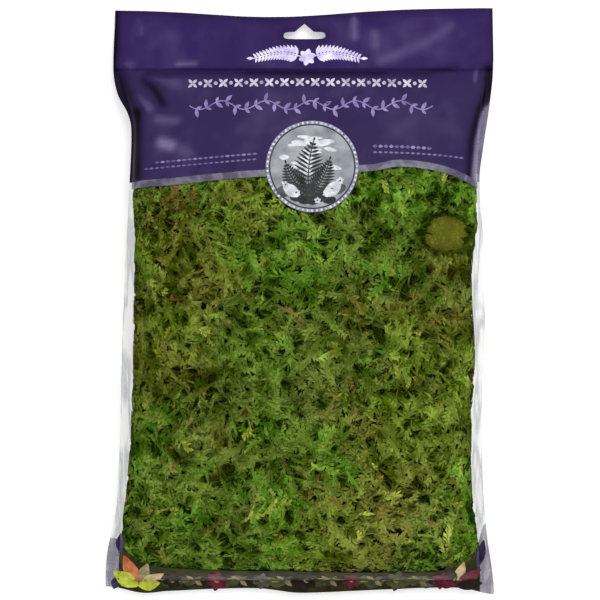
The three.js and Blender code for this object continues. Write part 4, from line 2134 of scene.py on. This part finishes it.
    def plant(self, side: Side, index: int, spots: Spots, tones: Array, rng: Chance) -> Piece:
        """Plant the shoots of one mat.

        Args:
            side: Which layer the mat is in.
            index: The mat's index.
            spots: Every spot of that layer.
            tones: Their tones.
            rng: Where the chance comes from.

        Returns:
            The finished piece.
        """
        kinds = self.shoots[side]
        bm, maps = bmesh.new(), []
        for k in np.flatnonzero(spots.mat == index):
            x, y, _ = spots.at[k]
            if side is Side.FRONT and self.bare and self.bare(x, y):
                continue
            normal = Vector(spots.normal[k])
            flow = 5.0 * noise.noise(Vector((x / 42, y / 42, 9.1))) + rng.normal(0, 1.0)
            run = Vector((math.cos(flow), math.sin(flow), 0))
            run = (run - normal * run.dot(normal)).normalized()
            tilt = math.radians(rng.uniform(*self.tilt))
            run = run * math.cos(tilt) + normal * math.sin(tilt)
            across = normal.cross(run).normalized()
            roll = rng.normal(0, self.roll)
            up = (run.cross(across) + across * roll).normalized()
            across = up.cross(run)
            kind = kinds[int(rng.integers(len(kinds)))]
            deck = rng.random()
            depth = 1.0 + 1.3 * rng.random() if deck < self.top_deck else 2.2 + 3.6 * rng.random()
            depth += 2.2 * spots.crevice[k]
            size = rng.uniform(*self.size)
            root = Vector(spots.at[k]) - normal * depth - run * kind.length * size * 0.4
            turn = Matrix((run, across, up)).transposed().to_4x4()
            copy = kind.mesh.copy()
            copy.transform(Matrix.Translation(root) @ turn @ Matrix.Scale(size, 4))
            bm.from_mesh(copy)
            bpy.data.meshes.remove(copy)
            shade = np.array([tones[k], 0.0])
            # Painted shade: deeper shoots are darkened, with some random spread.
            depth_shade = np.array([1.0, max(0.5, 1.08 - 0.08 * depth) * rng.uniform(0.8, 1.12)])
            maps.append(kind.lay_of_map * depth_shade + shade)
        points = self.press_in(side, points_of(bm))
        x, y, _ = points.T
        lie = self.lies[side]
        points = points - self.normal(side, x, y) * lie.read(lie.hollow, x, y)[:, None]
        points = self.keep_inside(points)
        shaded_brightness = lie.read(lie.shaded_brightness, x, y)
        set_points(bm, *points.T)
        leaf, _, slot = KINDS[index % len(KINDS)]
        piece = finish_piece(bm, f"{side.value}_moss_{index + 1:02d}", [leaf], smooth=False)
        layer = piece.data.uv_layers.new(name=SHOOT_MAP, do_init=False)
        lay = np.concatenate(maps)
        # Painted shade from the lie map, at the flanks, in pits and round the cushion, darkens each
        # shoot's V.
        lay[:, 1] *= shaded_brightness[corners_of(piece.data)]
        lay = np.clip(lay, 0.004, 0.996).astype(np.float32)
        layer.uv.foreach_set("vector", lay.ravel())
        return piece

    def bed(self, side: Side, index: int) -> Piece:
        """Make the matted bed of one mat from its solid, sunk below the shoots.

        Args:
            side: Which layer the mat is in.
            index: The mat's index.

        Returns:
            The finished piece.
        """
        node = f"{side.value}_mat_{index + 1:02d}"
        bm = bmesh.new()
        bm.from_mesh(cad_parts[node].data)
        bmesh.ops.scale(bm, vec=(1 / MM, 1 / MM, 1 / MM), verts=bm.verts[:])
        bmesh.ops.remove_doubles(bm, verts=bm.verts[:], dist=0.002)
        bmesh.ops.subdivide_edges(bm, edges=bm.edges[:], cuts=1, use_grid_fill=True)
        bm.normal_update()
        normals = np.array([v.normal[:] for v in bm.verts])
        points = points_of(bm)
        x, y, z = points.T
        gap = side.sign * (self.outer(side, x, y) - z) * np.abs(self.normal(side, x, y)[:, 2])
        bare = bell(np.maximum(gap, 0) / 5)
        rough = cloud(x + z, y + z, 6, 2.2)
        upright = np.abs(normals[:, 2]) ** 2
        sink = upright * (0.8 + bare * (5.2 + 1.8 * rough)) - 0.4 * (1 - upright)
        points = points - normals * sink[:, None]
        across = self.form.across(points[:, 0], points[:, 1])
        points[:, 0] += np.sign(across) * np.clip(np.abs(across) * 10 - 9, 0, 1) * self.skirt
        points[:, 1] -= np.clip((self.skirt_from - points[:, 1]) / 12, 0, 1) * self.skirt
        set_points(bm, *self.keep_inside(self.press_in(side, points, self.bed_under), 0.5).T)
        _, finish, slot = KINDS[index % len(KINDS)]
        piece = finish_piece(bm, node + "_bed", [finish])
        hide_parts(node)
        return piece

    def build(self, side: Side, gap: float, high: Curve, seed: int) -> None:
        """Make one layer.

        Args:
            side: Which layer.
            gap: How far apart its shoots stand.
            high: Where its shoots end towards the head.
            seed: Picks the pattern.
        """
        places = self.scatter(side, gap, -208, high, seed)
        spots = self.share_out(side, places)
        rng = np.random.default_rng(seed + 50)
        tones = self.tones(spots, rng)
        LOG.info("%s layer: %d shoots", side.value, len(places))
        for index in range(self.mats(side)):
            report(self.bed(side, index))
            if (spots.mat == index).any():
                report(self.plant(side, index, spots, tones, rng))


@dataclass
class Crumbs:
    """Broken stems and crumbs of moss that fill the heart of the bag between the mats."""

    pack: MossPack
    depth: float = 9.5
    inset: float = 2.4
    least: float = 0.4
    most_share: float = 0.42
    low: float = -209.5
    high: float = 150.0

    def build(self) -> Piece:
        """Make the filling from a finely cut block, pressed to the bag's form.

        Returns:
            The finished piece.
        """
        bm = bmesh.new()
        bmesh.ops.create_cube(bm, size=2.0)
        bmesh.ops.subdivide_edges(bm, edges=bm.edges[:], cuts=30, use_grid_fill=True)
        block = points_of(bm)
        y = self.low + (block[:, 1] + 1) / 2 * (self.high - self.low)
        x = spread(*self.pack.form.shoulders(y, self.inset), block[:, 0] * math.pi / 2)
        top, bottom = self.pack.outer(Side.FRONT, x, y), self.pack.outer(Side.BACK, x, y)
        thick = np.maximum(top - bottom, self.least)
        half = thick / 2 - np.minimum(self.depth, thick * self.most_share)
        rough = 0.5 * cloud(x, y, 4, 7.1) * np.minimum(half, 1)
        points = np.stack([x, y, (top + bottom) / 2 + block[:, 2] * half + rough], 1)
        set_points(bm, *self.pack.keep_inside(points, 0.5).T)
        return finish_piece(bm, "moss_crumbs", [GREEN_BED])


@dataclass
class Cushion:
    """A smooth, close-grown cushion of moss, pressed flat against the film."""

    pack: MossPack
    at: Spot = (111.0, 51.0)
    radius: Spot = (19.0, 16.0)
    depth: float = 7.0
    under: float = 1.4
    wobble: float = 0.06
    heart: float = 0.8

    def holds(self, x: float, y: float) -> bool:
        """Whether a place is well inside the cushion."""
        across, along = (x - self.at[0]) / self.radius[0], (y - self.at[1]) / self.radius[1]
        return math.hypot(across, along) < self.heart

    def build(self) -> Piece:
        """Make the cushion.

        Returns:
            The finished piece.
        """
        bm = bmesh.new()
        bmesh.ops.create_uvsphere(bm, u_segments=72, v_segments=36, radius=1.0)
        ball = points_of(bm)
        wobble = 1 + self.wobble * cloud(ball[:, 0], ball[:, 1], 1.1, 8.8)
        x = self.at[0] + self.radius[0] * ball[:, 0] * wobble
        y = self.at[1] + self.radius[1] * ball[:, 1] * wobble
        crease = bell(cloud(x, y, 13, 4.6) / 0.3)
        lumps = 0.7 * cloud(x, y, 8, 5.5) + 0.4 * cloud(x, y, 3.4, 6.6) - 0.7 * crease
        z = self.pack.outer(Side.FRONT, x, y) - self.under + lumps - (1 - ball[:, 2]) * self.depth
        # Painted shade on the cushion's creases and on its low sides, where it turns under.
        low = np.clip(1.15 - 1.3 * ball[:, 2], 0, 1)
        store(bm, PAINTED_LIGHT, np.clip(0.26 * crease + 0.6 * low, 0, 1))
        points = self.pack.press_in(Side.FRONT, np.stack([x, y, z], 1), 0.3)
        set_points(bm, *self.pack.keep_inside(points).T)
        return finish_piece(bm, "front_moss_cushion", [CUSHION_BED])


# Studio


@dataclass
class Studio:
    """The pale floor, the soft lights and the camera straight above."""

    frame_width: float = 0.459
    lens: float = 200.0
    sensor: float = 36.0
    film_height: float = 0.016
    aim: Spot = (0.0, 0.00077)
    floor_half: float = 3.0
    floor_drop: float = 0.0004
    sky_strength: float = 0.75

    def floor(self) -> None:
        """Lay a plain pale floor under the bag, lit a little from below."""
        bm = bmesh.new()
        bmesh.ops.create_grid(bm, x_segments=2, y_segments=2, size=self.floor_half)
        floor = as_object(bm, "studio_floor", 1.0)
        floor.location.z = -self.floor_drop
        floor.data.materials.append(StudioWhite("studio_floor").made())

    def light(self, name: str, at: tuple[float, float, float], size: float, power: float) -> None:
        """Hang a square soft light that looks at the bag.

        Args:
            name: The light's name.
            at: Where it hangs.
            size: Its side.
            power: Its power, in watts.
        """
        lamp = bpy.data.lights.new(name, "AREA")
        lamp.size, lamp.energy = size, power
        hung = put_in_scene(name, lamp)
        hung.location = at
        hung.rotation_mode = "QUATERNION"
        hung.rotation_quaternion = Vector(at).to_track_quat("Z", "Y")

    def camera(self) -> None:
        """Set the camera straight above the bag, far off and with a long lens."""
        camera = bpy.data.cameras.new("photo_camera")
        camera.lens, camera.sensor_width = self.lens, self.sensor
        camera.clip_start, camera.clip_end = 0.1, 20.0
        eye = put_in_scene("photo_camera", camera)
        eye.location = (*self.aim, self.film_height + self.frame_width * self.lens / self.sensor)
        bpy.context.scene.camera = eye

    def build(self) -> None:
        """Set up the floor, lights, sky and camera."""
        self.floor()
        self.light("key_light", (0.6, 1.2, 1.9), 1.3, 24)
        self.light("fill_light", (-1.1, -0.5, 1.6), 1.4, 5)
        world = bpy.data.worlds.new("studio_sky")
        world.use_nodes = True
        sky = world.node_tree.nodes["Background"]
        Bench(world.node_tree).feed(sky, {"Color": (1, 1, 1, 1), "Strength": self.sky_strength})
        bpy.context.scene.world = world
        bpy.context.scene.view_settings.view_transform = "Standard"
        self.camera()


def main() -> None:
    """Build the bag, its print, its moss and the studio."""
    logging.basicConfig(level=logging.INFO, format="%(name)s %(message)s", force=True)
    form = BagForm()
    relief = FilmRelief(form)
    ink_low = Curve(
        ((-150, 89.5), (-128, 90.3), (-117, 91.6), (-96, 92.9), (-76, 95), (-38, 98.4), (20, 101.6),
         (54, 103.2), (73, 106.6), (92, 105.4), (111, 101.6), (126, 95.6), (134, 91.5), (150, 89))
    )
    pale_low = Curve(tuple((x, y - 5.2) for x, y in ink_low.knots))
    band_top = Curve(
        ((-142, -181), (-134, -188), (-128, -195), (-118, -200), (-97, -203), (-60, -204.5),
         (-10, -205.5), (40, -206.5), (100, -206), (116, -203.5), (129, -198), (136, -186), (141, -170))
    )
    foot, head = level(form.foot_weld), level(form.top_weld + 0.3)
    front = FilmPanel(
        form, relief, Side.FRONT,
        PanelGrid((form.foot_edge, foot, band_top, pale_low, ink_low, head), (4, 9, 112, 2, 30), 96),
    )
    back = FilmPanel(
        form, relief, Side.BACK,
        PanelGrid((form.foot_edge, foot, level(97), head), (4, 84, 28), 70),
    )
    report(front.build("front_panel", "front_film"))
    report(back.build("back_panel", "back_film"))
    report(Header(form, relief).build())

    def printed(x: Array, y: Array) -> Array:
        """The outer face of the print, on the header and below it."""
        below = front.height(x, np.minimum(y, form.top_weld))
        return np.where(y > form.top_weld, relief.welded(x, y), below)

    ornament = HeaderOrnament(printed)
    for piece in (ornament.garland(), ornament.chain(), ornament.vine(), ornament.rules()):
        report(piece)
    report(Medallion(printed).build())
    report(FootBand(printed).build())
    pack = MossPack(form, relief)
    cushion = Cushion(pack)
    pack.bare = cushion.holds
    pack.grow()
    pack.lies[Side.FRONT].make_room(cushion.at, cushion.radius, cushion.depth)
    report(cushion.build())
    report(Crumbs(pack).build())
    pack.build(Side.FRONT, 3.35, Curve(tuple((x, y + 3) for x, y in pale_low.knots)), 11)
    pack.build(Side.BACK, 5.0, level(100), 12)
    Studio().build()


if __name__ == "__main__":
    main()
